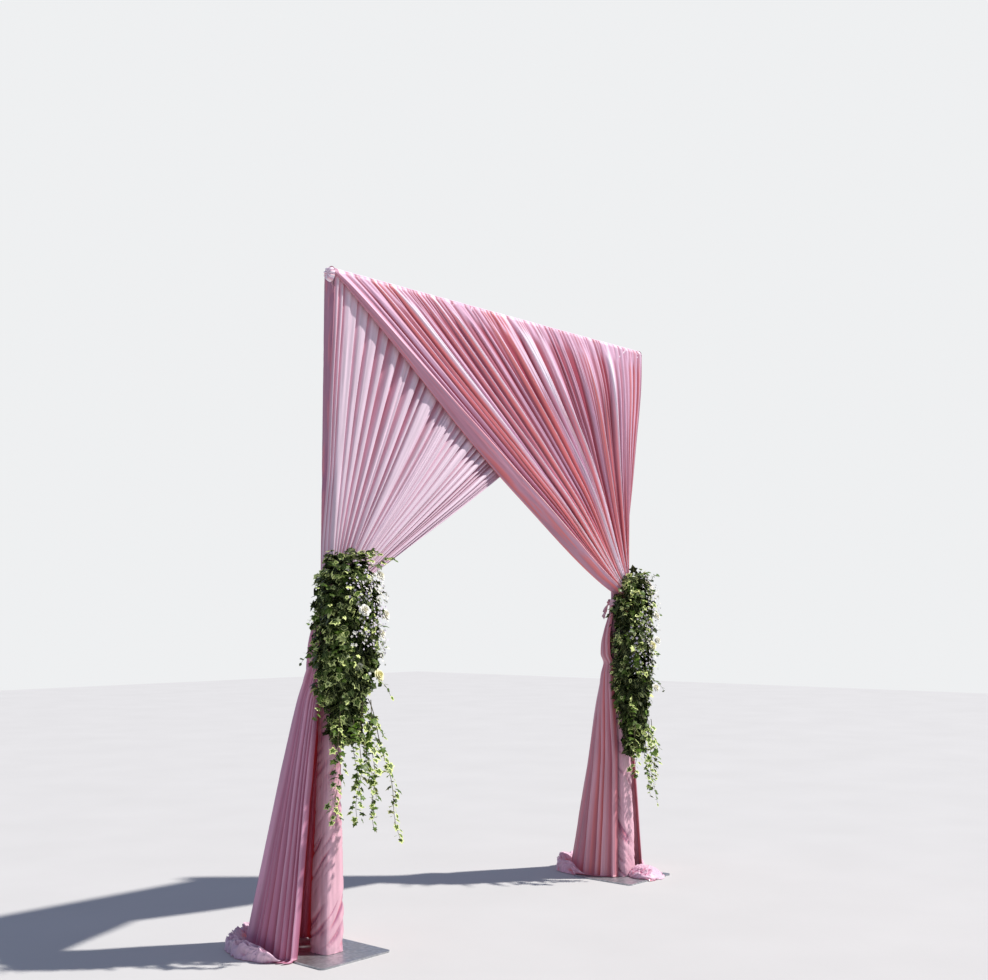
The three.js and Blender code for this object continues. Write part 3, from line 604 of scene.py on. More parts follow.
ribbon_finish = cloth_finish("tie_ribbon", (0.78, 0.50, 0.58), (0.68, 0.32, 0.40), (0.48, 0.08, 0.11),
                             (0.72, 0.30, 0.32), crease=0.5, depth=0.002, sheen=0.2, Coat_Weight=0.25)
KNOT_SIZE = (0.017, 0.010, 0.015)
CUT_ENDS = ((-0.06, 0.095), (0.05, 0.07))
for side, out in SIDES.items():
    low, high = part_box(f"{side}_tie_band")
    centre, half = (low + high) / 2, (high - low) / 2
    columns, rows = 160, 34
    angle = np.linspace(0, 2 * np.pi, columns, endpoint=False)[None, :]
    level = np.linspace(-1, 1, rows)[:, None]
    turns = 1.5 * (level + 1) + 0.16 * np.sin(angle + 1) + 0.08 * np.sin(3 * angle)
    hump = abs(np.sin(np.pi * np.clip(turns, 0, 3))) ** 0.6
    pulled = rumpled(angle * 0.08, level * 0.02 + 0 * angle, 41, 0.07, 0.004)
    puff = -0.0016 + 0.0022 * hump + 0.0007 * pulled
    shape = squared(angle, 7)
    grid = np.stack([centre.x + (half.x + puff) * shape * np.cos(angle),
                     centre.y + (half.y + puff) * shape * np.sin(angle), centre.z + half.z * level + 0 * angle], -1)
    # Painted shade: pale on each turn of the ribbon and dark in the grooves between turns.
    shade = 0.3 + 0.7 * hump * (0.7 + 0.3 * pulled)
    band = cloth_object(f"{side}_tie_ribbon", grid, shade, ribbon_finish, closed=True)
    u, v = np.meshgrid(np.linspace(0, 2 * np.pi, 40, endpoint=False), np.linspace(0.02, np.pi - 0.02, 22))
    twist = 1 + 0.18 * np.sin(3 * u + 4 * v) + 0.12 * np.sin(5 * u - 3 * v)
    ball = np.stack([np.sin(v) * np.cos(u), np.sin(v) * np.sin(u), np.cos(v)], -1)
    knot_at = Vector((centre.x - out * 0.030, high.y + 0.009, centre.z))
    grid = np.array(knot_at) + twist[..., None] * ball * KNOT_SIZE
    # The knot's painted shade follows its twist.
    knot = cloth_object(f"{side}_tie_knot", grid, 0.5 * twist, ribbon_finish, closed=True)
    ends = []
    for number, (lean, length) in enumerate(CUT_ENDS):
        t = np.linspace(0, 1, 60)[:, None]
        w = np.linspace(-1, 1, 13)[None, :]
        drop = length * t - 0.022 * abs(w) * t ** 6
        wide = 0.007 + 0.010 * ease(0, 0.3, t)
        x = knot_at.x + lean * length * t ** 1.2 + w * wide * np.cos(2.2 * t + number)
        y = knot_at.y + 0.004 + 0.032 * (1 - (1 - t) ** 1.6) + 0.004 * np.sin(3 * t + number) * t
        y = y + w * wide * np.sin(2.2 * t + number) * 0.5 + 0.004 * w ** 2
        grid = np.stack([x, y, knot_at.z - 0.005 - drop], -1)
        ends.append(cloth_object(f"{side}_tie_end_{number + 1}", grid, 0.75, ribbon_finish))
    fitted(band, "tie_ribbon", f"{side}_tie_band")
    for piece in (knot, *ends):
        fitted(piece, "tie_ribbon")

# ---- Tails and puddles
# Below its tie each cloth swings round the outside of the post and fans out behind it down to the floor.
# The left one keeps its close pleats, the right one opens into a broad cone. What is left over lies in a heap.

REACH_BEARINGS = np.array([80, 110, 132, 150, 165, 180, 195, 215, 245, 290])
REACHES = np.array([0.190, 0.235, 0.310, 0.368, 0.386, 0.362, 0.305, 0.215, 0.130, 0.088])
PLATE_HALF, LIES_ON_PLATE, LIES_ON_FLOOR = 0.206, 0.0105, 0.0025


def foot_reach(bearing):
    """How far from the post's axis the tail meets the floor. Bearing 0 is the front, 90 the outer side, 180 the
    back."""
    k = np.clip(np.searchsorted(REACH_BEARINGS, bearing, "left"), 1, len(REACHES) - 1)
    before, after = REACH_BEARINGS[k - 1], REACH_BEARINGS[k]
    return lerp(REACHES[k - 1], REACHES[k], ease(0, 1, (bearing - before) / (after - before)))


def round_post(out, bearing, radius, z):
    """Points at bearings and distances from a post's axis, and which of them lie over its base plate."""
    angle = np.radians(bearing)
    aside, behind = radius * np.sin(angle), -radius * np.cos(angle)
    grid = np.stack([out * POST_X + out * aside, POST_Y + behind, z + 0 * angle], -1)
    return grid, (abs(grid[..., 0] - out * POST_X) < PLATE_HALF) & (abs(grid[..., 1] - POST_Y) < PLATE_HALF)


# The tail and heap colours are painted light and shade like the drapes': painted highlights on crests, painted shade
# in the valleys and crumples, and a painted warm glow.
tail_finish = cloth_finish("tail_cloth", (0.68, 0.36, 0.50), (0.50, 0.18, 0.29), (0.38, 0.045, 0.08),
                           (0.72, 0.12, 0.13), glow=0.08)
muted_tail_finish = cloth_finish("muted_tail_cloth", (0.66, 0.38, 0.45), (0.48, 0.20, 0.26), (0.36, 0.055, 0.08),
                            (0.74, 0.16, 0.13), glow=0.08)
heap_finish = cloth_finish("heaped_cloth", (0.82, 0.56, 0.68), (0.62, 0.28, 0.45), (0.38, 0.07, 0.20),
                           (0.88, 0.26, 0.26), crease=1.6, glow=0.06, Coat_Weight=0.4)


def heaped(name, out, bearings, near, band, top, seed, size, start=0.0):
    """Spare cloth crumpled into a low heap on the floor round a post's foot. near gives how far out it starts at a
    bearing, band is how far beyond that it reaches, and size is its points along and across. With start, it comes
    down from what it lies against."""
    u = np.linspace(0, 1, size[0])[None, :]
    v = np.linspace(0, 1, size[1])[:, None]
    taper = np.maximum(0.22, (1 - abs(2 * u - 1) ** 4) ** 0.5)
    lump = 1 + 0.16 * np.sin(u * 31) + 0.1 * np.sin(u * 53)
    bearing = lerp(*bearings, u) + 2.5 * np.sin(7 * v + 5 * u)
    length = np.radians(bearings[1] - bearings[0]) * (near(np.mean(bearings)) + band[1] / 2)
    depth = 0.07 + band[1]
    swirl = rumpled(u * length + 0.05 * np.sin(9 * v), v * depth + 0.02 * np.sin(23 * u), seed, 0.060, 0.040, 4)
    ruck = rumpled(v * depth, u * length, seed + 2, 0.10, 0.040, 4)
    swirl, ruck = np.clip(1.7 * swirl - 0.7, 0, 1), np.clip(1.5 * ruck - 0.5, 0, 1)
    hump = np.sin(np.pi * np.clip(lerp(start, 1.04, v), 0, 1)) ** 0.62
    rise = top * hump * taper * (0.30 * lump + 0.40 * swirl + 0.34 * ruck)
    outward = near(bearing) + band[0] + lerp(0, band[1], v) * taper + 0.030 * (ruck - 0.5) * hump
    grid, on_plate = round_post(out, bearing, outward + 0.016 * (swirl - 0.5), rise)
    grid[..., 2] = np.maximum(np.where(on_plate, LIES_ON_PLATE, LIES_ON_FLOOR), rise)
    # The heap's painted shade follows its crumples.
    return cloth_object(name, grid, 0.05 + 0.5 * swirl + 0.45 * ruck, heap_finish, warm_way=1.6)


# A tail runs on to its last bearing, swells below the tie, and widens later with a higher spread.
TAIL_ROWS, TRAIL_ROWS, FOLD_DEPTH = 104, 8, 0.021
# warm is how strongly the sides of a tail's pleats take the painted glow.
TAILS = {
    "left": {"pleats": Folds(51, 20, 0.33, low=0.6, sharpness=(0.6, 1.1), valleys=0.2), "finish": tail_finish,
             "warm": 1.0, "last": 245, "swell": 0.003, "spread": 1.07, "seed": 54,
             "heap_end": 206, "heap_seed": 61, "heap_flat": (0.8, 0.22)},
    "right": {"pleats": Folds(52, 13, 0.5, low=0.3, sharpness=(0.6, 1.1), valleys=0.5), "finish": muted_tail_finish,
              "warm": 0.35, "last": 288, "swell": 0.021, "spread": 1.12, "seed": 55,
              "heap_end": 226, "heap_seed": 62, "heap_flat": (0.9, 0.22)},
}
wide_folds = Folds(53, 41, 0.5)
for side, tail in TAILS.items():
    out = SIDES[side]
    low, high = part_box(f"{side}_tail")
    fall = np.append(np.linspace(0, 1, TAIL_ROWS), np.full(TRAIL_ROWS, 1.0))[:, None]
    trail = np.append(np.zeros(TAIL_ROWS), np.linspace(0.1, 1, TRAIL_ROWS))[:, None]
    q = np.linspace(0, 1, 260)[None, :]
    first = lerp(-34, lerp(76, 85, ease(0.1, 0.6, fall)), ease(0, 0.3, fall))
    last = lerp(262, tail["last"], ease(0.15, 0.6, fall))
    bearing = lerp(first, last, q)
    tied = 0.056 + 0.022 * np.clip(np.cos(np.radians(bearing)), 0, 1) ** 2
    puffed = ease(0.03, 0.17, fall) * (1 - ease(0.185, 0.22, fall)) - 0.3 * np.exp(-((fall - 0.225) / 0.02) ** 2)
    swell = tail["swell"] * puffed * ease(90, 150, bearing)
    lift = tail["pleats"].at(q, 0.6 * fall)
    lift = lift - 0.2 * (1 - wide_folds.at(q, fall)) * lift
    creases = rumpled(q * 0.9, fall * 1.5, tail["seed"], 0.05, 0.30, 7)
    depth = lerp(0.004, FOLD_DEPTH, ease(0, 0.5, fall))
    radius = lerp(tied, foot_reach(bearing), fall ** tail["spread"]) + 0.012 * np.sin(np.pi * ease(0, 0.2, fall))
    radius = radius + depth * (2 * lift - 1) + swell + 0.004 * creases * ease(0.1, 0.5, fall)
    radius = radius + trail * (0.018 + 0.03 * creases) * (1 - 0.8 * ease(235, 265, bearing))
    z = lerp(high.z + 0.004, low.z + 0.002, fall) + 0.006 * trail * lift - 0.001 * trail
    grid, on_plate = round_post(out, bearing, radius, z)
    grid[..., 2] -= np.where((trail > 0) & ~on_plate, 0.006 * ease(0, 0.5, trail), 0)
    # The tail's painted shade follows the lift of its pleats.
    cloth = cloth_object(f"{side}_tail_cloth", grid, 0.08 + 0.92 * lift, tail["finish"], warm_way=tail["warm"])
    fitted(cloth, "tail_cloth", f"{side}_tail")

    node = f"{side}_tail_puddle"
    heap = heaped(f"{side}_puddle_cloth", out, (97, tail["heap_end"]), foot_reach, band=(0.012, 0.086),
                  top=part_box(node)[1].z + 0.010, seed=tail["heap_seed"], size=(200, 70))
    fitted(heap, "tail_cloth", node)

spare = heaped("right_sleeve_spare_cloth", 1, (-26, 90), lambda bearing: 0.052 + 0 * bearing, band=(0.0, 0.180),
               top=0.056, seed=67, size=(150, 70), start=0.33)
fitted(spare, "sleeve_cloth")

# ---- Garlands
# Cut ivy with cream-edged leaves, bound over each tie with wire, with cream and pale yellow roses set into it.
# Sprays of small white and mauve blossoms fill the gaps, and a few long ivy stems trail below.

leafy, into, out_of = group_of(
    "leaf_surface", {"Dark": (0.012, 0.035, 0.008), "Fresh": (0.075, 0.13, 0.02), "Cream": (0.62, 0.62, 0.36),
                     "Tone": 0.5, "Rim": 0.0, "Margin": 0.0})
split = add(leafy, "SeparateXYZ", i0=given(leafy, "UVMap", {"uv_map": "leaf"}))
side_way = reckoned(leafy, "ABSOLUTE", split.outputs["X"])
slant = reckoned(leafy, "MULTIPLY_ADD", side_way, -0.8, split.outputs["Y"])
wave = reckoned(leafy, "SINE", reckoned(leafy, "MULTIPLY", slant, 38.0))
midrib = ranged(leafy, side_way, 0.0, 0.035, 1.0, 0.0)
veins = reckoned(leafy, "MAXIMUM", ranged(leafy, wave, 0.8, 1.0), midrib)
where = given(leafy, "TexCoord", output="Object")
blotch = given(leafy, "TexNoise", Vector=where, Scale=60.0, Detail=3.0)
edge = reckoned(leafy, "ADD", reckoned(leafy, "MULTIPLY_ADD", blotch, 0.7, into["Rim"]), into["Margin"])
creamy = ranged(leafy, edge, 1.33, 1.51, curve="SMOOTHSTEP")
green = mixed(leafy, into["Tone"], into["Dark"], into["Fresh"])
ribbed = mixed(leafy, reckoned(leafy, "MULTIPLY", veins, 0.35), green, into["Cream"])
wire(leafy, out_of, Color=mixed(leafy, creamy, ribbed, into["Cream"]), Height=veins,
     Roughness=ranged(leafy, blotch, 0.3, 0.7, 0.30, 0.48))


def leaf_finish(name, dark, fresh, cream):
    """Waxy leaves, each with its own tone and its own width of cream edge."""
    finish, tree, shader = finish_of(name, Specular_IOR_Level=0.16)
    tone, rim, margin = on_points(tree, "tone", "rim", "margin")
    leaf = add(tree, "Group", {"node_tree": leafy}, Dark=dark, Fresh=fresh, Cream=cream, Tone=tone, Rim=rim,
               Margin=margin)
    surfaced(tree, shader, *leaf.outputs, strength=0.4, depth=0.0008, invert=True)
    return finish


def petal_finish(name, inner, outer):
    """Petals: deeper in colour at the heart, paler at the rim, with fine streaks along them."""
    finish, tree, shader = finish_of(name, Sheen_Weight=0.2)
    streak = streaked(tree, given(tree, "UVMap", {"uv_map": "leaf"}), (26, 2, 1), Detail=3.0)
    share = reckoned(tree, "MULTIPLY_ADD", streak, 0.35, *on_points(tree, "rim"))
    surfaced(tree, shader, mixed(tree, ranged(tree, share, 0.15, 1.0), inner, outer),
             ranged(tree, streak, 0.3, 0.7, 0.5, 0.65), streak, strength=0.3, depth=0.0006)
    return finish


ivy_finish = leaf_finish("ivy_leaves", (0.002, 0.009, 0.001), (0.065, 0.150, 0.004), (0.76, 0.86, 0.32))
cream_finish = petal_finish("cream_petals", (0.84, 0.78, 0.46), (0.94, 0.93, 0.84))
yellow_finish = petal_finish("yellow_petals", (0.80, 0.72, 0.20), (0.90, 0.87, 0.52))
SPRAY_FINISHES = {"white": petal_finish("white_blossoms", (0.75, 0.72, 0.50), (0.88, 0.87, 0.84)),
                  "mauve": petal_finish("mauve_blossoms", (0.55, 0.48, 0.56), (0.74, 0.69, 0.78))}
BLOSSOM_SIZES = {"white": (0.0045, 0.0095), "mauve": (0.0045, 0.0068)}
stem_finish = coated("ivy_stem", (0.16, 0.15, 0.05), (0.07, 0.05, 0.025), 420.0, 0.5, 0.75, 0.0006)

IVY_HALF = ((0.0, 0.10), (0.20, -0.07), (0.45, 0.02), (0.30, 0.27), (0.52, 0.52), (0.25, 0.60), (0.0, 1.0))
OVAL_HALF = ((0.0, 0.0), (0.16, 0.06), (0.29, 0.22), (0.34, 0.42), (0.28, 0.66), (0.15, 0.86), (0.0, 1.0))


def leaf_shape(half, plain=False):
    """A leaf one unit long, lying flat with its stalk at the origin: points, triangles, and how near each is to the
    rim. A plain one has no ring of points between its heart and its rim."""
    outline = np.array(list(half) + [(-x, y) for x, y in half[-2:0:-1]])
    heart = np.array([0.0, 0.36])
    count = len(outline)
    middle = outline[:0] if plain else lerp(heart, outline, 0.55)
    x, y = np.concatenate([[heart], middle, outline]).T
    faces = []
    for i in range(count):
        j = (i + 1) % count
        faces.append((0, 1 + i, 1 + j))
        if not plain:
            faces += [(1 + i, 1 + count + i, 1 + count + j), (1 + i, 1 + count + j, 1 + j)]
    rim = np.concatenate([[0.0], np.full(len(middle), 0.5), np.ones(count)])
    z = 0.10 * abs(x) - 0.45 * x ** 2 - 0.28 * (y - 0.2) ** 2
    return np.stack([x, y, z], -1), np.array(faces), rim


IVY, OVAL, PLAIN_IVY = leaf_shape(IVY_HALF), leaf_shape(OVAL_HALF), leaf_shape(IVY_HALF, plain=True)
IVY_SHARE = 0.72
GARLAND_REACH = 0.14
ROSE_CLEARANCE = 0.043
SPRAY_POINTS, SPRIG_POINTS = 1200, 600
SPRIG_SPACING, STRAND_SPACING = 0.014, 0.013


def unit(vectors):
    return vectors / np.maximum(np.linalg.norm(vectors, axis=-1, keepdims=True), 1e-9)


def strewn(shape, at, facing, tip, size, tone, margin):
    """Copies of a leaf shape as one set of arrays. facing is each leaf's upper side, and tip the way it points."""
    points, faces, rim = shape
    facing = unit(facing)
    tip = unit(tip - facing * (tip * facing).sum(1, keepdims=True))
    ways = (np.cross(tip, facing), tip, facing)
    spread_out = sum(points[None, :, k:k + 1] * way[:, None] for k, way in enumerate(ways))
    count, each = len(at), len(points)
    every = (faces[None] + (np.arange(count) * each)[:, None, None]).reshape(-1, 3)
    return {"points": (at[:, None, :] + size[:, None, None] * spread_out).reshape(-1, 3), "faces": every,
            "tone": np.repeat(tone, each), "margin": np.repeat(margin, each), "rim": np.tile(rim, count),
            "leaf": np.tile(points[:, :2], (count, 1))}


def leaf_object(name, *sets):
    """One mesh from sets of strewn leaves."""
    starts = np.cumsum([0] + [len(one["points"]) for one in sets])
    every = {key: np.concatenate([one[key] for one in sets]) for key in sets[0] if key != "faces"}
    faces = np.concatenate([one["faces"] + start for one, start in zip(sets, starts)])
    return mesh_object(name, every.pop("points"), faces, ivy_finish, **every)


def points_on(node, draw, count, axis):
    """Random points spread over the outward faces of a node of the frame, and the way that each faces."""
    mesh = nodes[node].data
    mesh.calc_loop_triangles()
    corners = np.array([mesh.vertices[i].co for face in mesh.loop_triangles for i in face.vertices])
    corners = corners.reshape(-1, 3, 3)
    first, second = corners[:, 1] - corners[:, 0], corners[:, 2] - corners[:, 0]
    normal = np.cross(first, second)
    area = np.linalg.norm(normal, axis=1)
    normal = normal / np.maximum(area, 1e-12)[:, None]
    away = corners.mean(1) - axis
    away[:, 2] *= 0.25
    area = area * ((normal * unit(away)).sum(1) > 0.25)
    pick = draw.choice(len(area), count, p=area / area.sum())
    a, b = draw.random((2, count, 1))
    swap = a + b > 1
    a, b = np.where(swap, 1 - a, a), np.where(swap, 1 - b, b)
    return corners[pick, 0] + a * first[pick] + b * second[pick], normal[pick]


def at_bearing(out, bearing, aside, forward):
    """How far a place at a bearing is from a post's axis, as a vector."""
    angle = math.radians(bearing)
    return np.array([out * math.sin(angle) * aside, -math.cos(angle) * forward, 0])


def points_near(node, draw, count, axis, out, bearing, z):
    """Random points on a node and their ways, and how far each is from a place at a bearing and a height."""
    at, way = points_on(node, draw, count, axis)
    wanted = axis + at_bearing(out, bearing, GARLAND_REACH, GARLAND_REACH)
    wanted[2] = z
    return at, way, np.linalg.norm(at - wanted, axis=1)


def turned(angle, across, other):
    """Ways at angles between two ways that are square to each other."""
    return np.cos(angle)[..., None] * across + np.sin(angle)[..., None] * other


def tube(path, radii, sides=6):
    """Points and quads of a thin stem along a path."""
    along = unit(np.gradient(path, axis=0))
    across = unit(np.cross(along, np.array([0.3, 0.9, 0.2])))
    angle = np.linspace(0, 2 * np.pi, sides, endpoint=False)
    ring = turned(angle, across[:, None], np.cross(along, across)[:, None])
    points = path[:, None] + ring * radii[:, None, None]
    return points.reshape(-1, 3), grid_faces(len(path), sides, closed=True)


def along_stem(spots, t, path):
    """Points at some shares of the way along a stem."""
    return np.stack([np.interp(spots, t, path[:, k]) for k in range(3)], -1)


ROSE_RINGS = ((3, 0.05, 0.15, -0.2, 0.56), (4, 0.10, 0.33, -0.3, 0.56), (5, 0.16, 0.55, -0.4, 0.50),
              (6, 0.22, 0.78, -0.5, 0.34), (7, 0.26, 1.0, -0.55, 0.10))


def rose(at, facing, size, draw):
    """The petals of a garden rose: a closed heart, then ring on ring that open and turn their lips out."""
    facing = unit(facing)
    across = unit(np.cross(facing, [0.2, 0.1, 0.97]))
    other = np.cross(facing, across)
    petals = []
    a, b = np.meshgrid(np.linspace(-1, 1, 8), np.linspace(0, 1, 7))
    for number, (count, r0, r1, h0, h1) in enumerate(ROSE_RINGS):
        for k in range(count):
            heading = 2 * np.pi * (k + 0.37 * number + draw.uniform(-0.12, 0.12)) / count
            spread = 1.25 * np.pi / count * (1 - 0.25 * b) * draw.uniform(0.9, 1.1)
            rise = b * (1 - 0.16 * a ** 2)
            lip = 0.10 * (number / 4) * ease(0.7, 1, b)
            r = size * (r0 + (r1 - r0) * rise ** 0.8 + lip + 0.03 * np.sin(3 * a + k)) * draw.uniform(0.94, 1.05)
            h = size * (h0 + (h1 - h0) * np.sin(1.57 * rise) - 1.4 * lip + 0.02 * np.sin(4 * a + 2 * k) * b)
            grid = at + r[..., None] * turned(heading + a * spread, across, other) + h[..., None] * facing
            petals.append((grid, 0.25 + 0.75 * b * (0.5 + 0.125 * number), np.stack([a, b], -1)))
    return petals


def blossoms(at, facing, size, draw):
    """The petals of small open flowers, five round ones each."""
    petals = []
    s, t = np.meshgrid(np.linspace(-1, 1, 4), np.linspace(0, 1, 3))
    for p, f, r in zip(at, facing, size):
        f = unit(f + draw.normal(0, 0.35, 3))
        across = unit(np.cross(f, draw.normal(0, 1, 3)))
        other = np.cross(f, across)
        for k in range(5):
            angle = 2 * np.pi * k / 5 + s * 0.62 * np.sin(np.pi * (0.18 + 0.72 * t))
            reach = r * (0.08 + 0.92 * t * (1 - 0.12 * s ** 2))
            up = r * (0.28 * t - 0.12 * t ** 2 + 0.1 * s ** 2 * t)
            petals.append((p + reach[..., None] * turned(angle, across, other) + up[..., None] * f, t,
                           np.stack([s, t], -1)))
    return petals


def flower_object(name, petals, finish):
    """One mesh from petals, each with its points, how near each is to the rim, and its flat places."""
    points, rim, lie = (np.stack(part) for part in zip(*petals))
    count, rows, columns, _ = points.shape
    faces = grid_faces(rows, columns) + (np.arange(count) * rows * columns)[:, None, None]
    return mesh_object(name, points.reshape(-1, 3), faces.reshape(-1, 4), finish, rim=rim.ravel(),
                       leaf=lie.reshape(-1, 2))


SEEN_WAY = np.array([-0.05, -0.10, 0.05])
INNER_LEAVES, INNER_DEPTH = 1500, 0.034
# A spray of blossoms has its bearing, height and count. A sprig has its bearing, height, rise, sideways lean and
# length. A strand has its bearing, drop and how far out it swings.
GARLANDS = {
    "left": {"seed": 71, "yellow": (5,), "leaves": 2300, "leaf": 1.0, "dim": 0.72, "set_back": 0.026,
             "white": ((-42, 1.66, 40), (-15, 1.60, 26), (-50, 1.32, 22), (-55, 1.56, 20), (20, 1.38, 14)),
             "mauve": ((-20, 1.54, 60), (-35, 1.45, 40), (20, 1.62, 40), (-50, 1.36, 36), (0, 1.40, 30)),
             "sprigs": ((-60, 1.72, 1.3, 0.9, 0.17), (-35, 1.74, 1.6, 0.3, 0.12), (70, 1.60, 0.6, -0.8, 0.11),
                        (85, 1.48, -0.1, -0.6, 0.10), (100, 1.33, -0.3, -0.4, 0.10), (60, 1.70, 1.2, -0.4, 0.10),
                        (-80, 1.40, -0.4, 0.4, 0.09), (-70, 1.22, -0.7, 0.4, 0.12), (20, 1.05, -0.9, 0.0, 0.13),
                        (90, 1.12, -0.8, -0.3, 0.12), (-20, 1.74, 1.4, 0.5, 0.10), (-75, 1.08, -1.0, 0.3, 0.15),
                        (-60, 0.99, -3.0, 0.1, 0.26), (-25, 0.97, -3.0, 0.0, 0.30), (10, 0.97, -3.0, -0.1, 0.24)),
             "strands": ((-78, 0.640, 0.190), (-40, 0.560, 0.030), (0, 0.520, -0.015), (55, 0.500, 0.060))},
    "right": {"seed": 72, "yellow": (4,), "leaves": 2500, "leaf": 0.86, "dim": 1.0, "set_back": 0.016,
              "white": ((55, 1.68, 46), (0, 1.36, 22), (25, 1.58, 26), (40, 1.44, 20), (10, 1.20, 16)),
              "mauve": ((-20, 1.34, 60), (0, 1.48, 40), (15, 1.64, 30), (-30, 1.22, 30)),
              "sprigs": ((-60, 1.55, 0.2, -0.6, 0.09), (-70, 1.38, -0.4, -0.5, 0.10), (40, 1.72, 1.5, 0.4, 0.12),
                         (10, 1.70, 1.5, -0.2, 0.09), (70, 1.50, 0.2, 0.7, 0.09), (80, 1.30, -0.3, 0.6, 0.10),
                         (60, 1.10, -0.6, 0.5, 0.11), (-50, 1.02, -0.8, -0.3, 0.13), (20, 0.86, -1.0, 0.2, 0.12),
                         (-20, 0.92, -1.0, -0.2, 0.12), (75, 1.62, 0.8, 0.6, 0.09), (-40, 1.20, -0.5, -0.5, 0.09),
                         (-10, 0.76, -3.0, -0.1, 0.24), (30, 0.77, -3.0, 0.0, 0.28)),
              "strands": ((-50, 0.300, 0.070), (0, 0.380, 0.020), (60, 0.330, 0.040))},
}
for side, garland in GARLANDS.items():
    out = SIDES[side]
    mass = f"{side}_garland_foliage"
    draw = np.random.default_rng(garland["seed"])
    low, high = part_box(mass)
    axis = np.array([out * POST_X, (low.y + POST_Y + 0.035) / 2, (low.z + high.z) / 2])
    outer = garland["leaves"]
    count = outer + INNER_LEAVES
    at, normal = points_on(mass, draw, count, axis)
    inset = np.append(draw.uniform(0.002, INNER_DEPTH, outer), draw.uniform(INNER_DEPTH, 0.065, INNER_LEAVES))
    inner = inset > INNER_DEPTH
    to_right = np.clip(normal @ np.array([0.656, -0.755, 0]), 0, 1)
    at = at - normal * (inset + garland["set_back"] * to_right)[:, None]
    crown = ease(high.z - 0.07, high.z, at[:, 2:])
    at = at + crown * np.array([0, 0, 1]) * draw.uniform(-0.015, 0.030, (count, 1))
    facing = normal + np.array([0, 0, 0.75]) + draw.normal(0, 0.55, at.shape)
    tip = np.array([0, 0, -1.0]) * (1 - 1.8 * crown) + (0.35 + 0.5 * crown) * normal + draw.normal(0, 0.6, at.shape)
    # The inner leaves are given tone 0.02 and no cream edge, close to the dark colour: painted shade deep inside the
    # garland.
    size = np.where(inner, draw.uniform(0.040, 0.062, count), draw.uniform(0.020, 0.046, count) * garland["leaf"])
    tone = np.where(inner, 0.02, draw.beta(1.1, 2.0, count) * garland["dim"])
    kind = draw.random(count)
    margin = np.select([kind < 0.16, kind < 0.55], [draw.uniform(0.6, 1.15, count), draw.uniform(0.0, 0.5, count)],
                       -0.5)
    margin = np.where(inner, -0.6, margin)
    rose_boxes = {n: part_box(f"{side}_garland_rose_{n}") for n in range(1, 6)}
    centres = {n: np.array((rose_low + rose_high) / 2) for n, (rose_low, rose_high) in rose_boxes.items()}
    clear = np.min([np.linalg.norm(at - centre, axis=1) for centre in centres.values()], 0) > ROSE_CLEARANCE
    bearing = np.arctan2(at[:, 0] - axis[0], axis[1] - at[:, 1])
    clump = cloudy_at(bearing * 2.2, at[:, 2] / 0.055, 75 + out, 2)
    clear &= inner | (clump > draw.uniform(0.38, 0.62, count))
    ivy = draw.random(count) < IVY_SHARE
    sets = []
    for shape, which, grow, dim in ((IVY, ivy & ~inner, 1.0, 0.0), (OVAL, ~ivy & ~inner, 0.9, 0.2),
                                    (PLAIN_IVY, inner, 1.0, 0.0)):
        some = which & clear
        sets.append(strewn(shape, at[some], facing[some], tip[some], grow * size[some], (1 - dim) * tone[some],
                           margin[some] - dim))
    fitted(leaf_object(f"{side}_garland_leaves", *sets), "foliage", mass)

    for number, centre in centres.items():
        away = centre - axis
        facing = np.array([away[0], away[1], 0.3 * np.hypot(away[0], away[1])])
        yellow = number in garland["yellow"]
        size = 0.5 * (rose_boxes[number][1].z - rose_boxes[number][0].z) * 0.88
        petals = rose(centre - unit(facing) * 0.004, facing + SEEN_WAY, size, draw)
        fitted(flower_object(f"{side}_rose_{number}", petals, yellow_finish if yellow else cream_finish),
               "yellow_petals" if yellow else "cream_petals", f"{side}_garland_rose_{number}")

    for colour, finish in SPRAY_FINISHES.items():
        spots, ways, sizes = [], [], []
        for bearing, z, count in garland[colour]:
            near, way, gap = points_near(mass, draw, SPRAY_POINTS, axis, out, bearing, z)
            order = np.argsort(gap + draw.uniform(0, 0.03, SPRAY_POINTS))[:count]
            spots.append(near[order] + way[order] * draw.uniform(-0.012, 0.020, (count, 1)))
            ways.append(way[order] + [0, 0, 0.4])
            sizes.append(draw.uniform(*BLOSSOM_SIZES[colour], count))
        petals = blossoms(*(np.concatenate(some) for some in (spots, ways, sizes)), draw)
        fitted(flower_object(f"{side}_{colour}_sprays", petals, finish), "cream_petals")

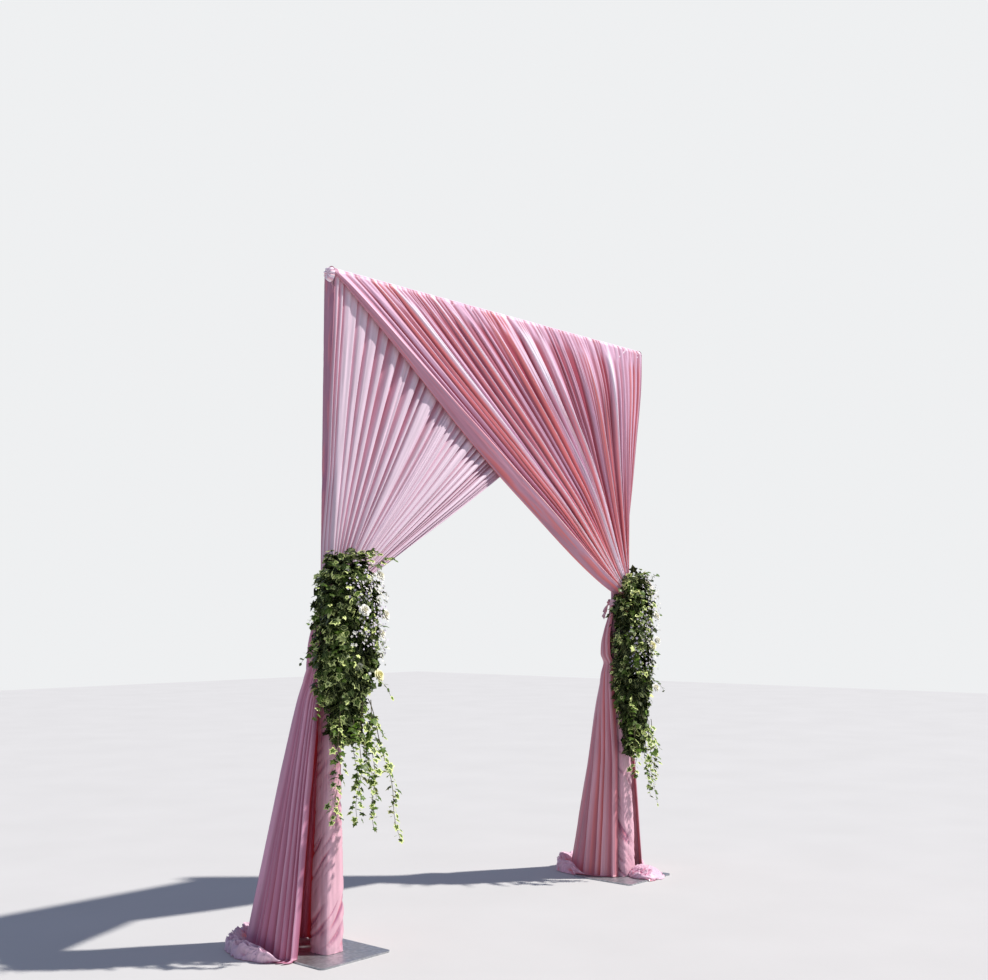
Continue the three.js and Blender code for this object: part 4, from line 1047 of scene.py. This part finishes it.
    sprigs, stems, start = [], [], 0
    for bearing, z, rise, sideways, length in garland["sprigs"]:
        near, way, gap = points_near(mass, draw, SPRIG_POINTS, axis, out, bearing, z)
        pick = np.argmin(gap)
        t = np.linspace(0, 1, 12)[:, None]
        going = unit(way[pick] * [1, 1, 0.2] + np.array([sideways, 0, rise]))
        bend = np.array([0, 0, -0.35 * length]) * t ** 2
        path = near[pick] - 0.03 * way[pick] + going * length * t + bend + 0.004 * np.sin(9 * t + z)
        points, faces = tube(path, 0.0016 - 0.0009 * t[:, 0])
        stems.append((points, faces + start))
        start += len(points)
        count = max(5, int(length / SPRIG_SPACING))
        spot = np.linspace(0.25, 1, count)
        flank = unit(np.cross(going, [0, 0, 1.0])) * np.where(np.arange(count) % 2, 1, -1)[:, None]
        tip = flank + going * 0.7 + draw.normal(0, 0.2, (count, 3))
        facing = np.array([0, -0.35, 0.9]) + draw.normal(0, 0.35, (count, 3))
        sprigs.append(strewn(OVAL if draw.random() < 0.4 else IVY, along_stem(spot, t[:, 0], path), facing, tip,
                             draw.uniform(0.022, 0.036, count) * (1.15 - 0.4 * spot), draw.uniform(0.35, 1.0, count),
                             np.where(draw.random(count) < 0.4, 0.4, -0.4)))
    points, faces = (np.concatenate(some) for some in zip(*stems))
    fitted(mesh_object(f"{side}_sprig_stems", points, faces, stem_finish), "foliage")
    fitted(leaf_object(f"{side}_sprig_leaves", *sprigs), "foliage")

    for number, (bearing, drop, swing) in enumerate(garland["strands"], 1):
        t = np.linspace(0, 1, 34)
        root = axis + at_bearing(out, bearing, 0.11, 0.10)
        end = axis + at_bearing(out, bearing, 0.10 + swing, 0.09 + swing)
        x = lerp(root[0], end[0], t ** 0.8) + 0.006 * np.sin(13 * t)
        y = lerp(root[1], end[1], t ** 0.8) + 0.008 * np.sin(9 * t)
        path = np.stack([x, y, low.z + 0.170 - drop * t], -1)
        stem = mesh_object(f"{side}_strand_stem_{number}", *tube(path, lerp(0.0022, 0.0009, t)), stem_finish)
        count = int(drop / STRAND_SPACING)
        spot = np.linspace(0.10, 1.0, count) ** 0.92
        turn = np.radians(bearing) + np.where(np.arange(count) % 2, 1.25, -1.25) + draw.normal(0, 0.5, count)
        outward = np.stack([out * np.sin(turn), -np.cos(turn), np.zeros(count)], -1)
        facing = outward * 0.6 + np.array([0, -0.3, 0.9]) + draw.normal(0, 0.3, (count, 3))
        tip = outward + np.array([0, 0, -0.9]) + draw.normal(0, 0.25, (count, 3))
        base = along_stem(spot, t, path) + draw.uniform(0.002, 0.022, (count, 1)) * outward
        size = draw.uniform(0.024, 0.046, count) * (1.15 - 0.45 * spot)
        leaves = strewn(IVY, base, facing, tip, size, draw.uniform(0.25, 0.9, count),
                        np.where(draw.random(count) < 0.7, 0.4, -0.3))
        fitted(stem, "foliage")
        fitted(leaf_object(f"{side}_strand_leaves_{number}", leaves), "foliage",
               f"{side}_trailing_strand_{number}")
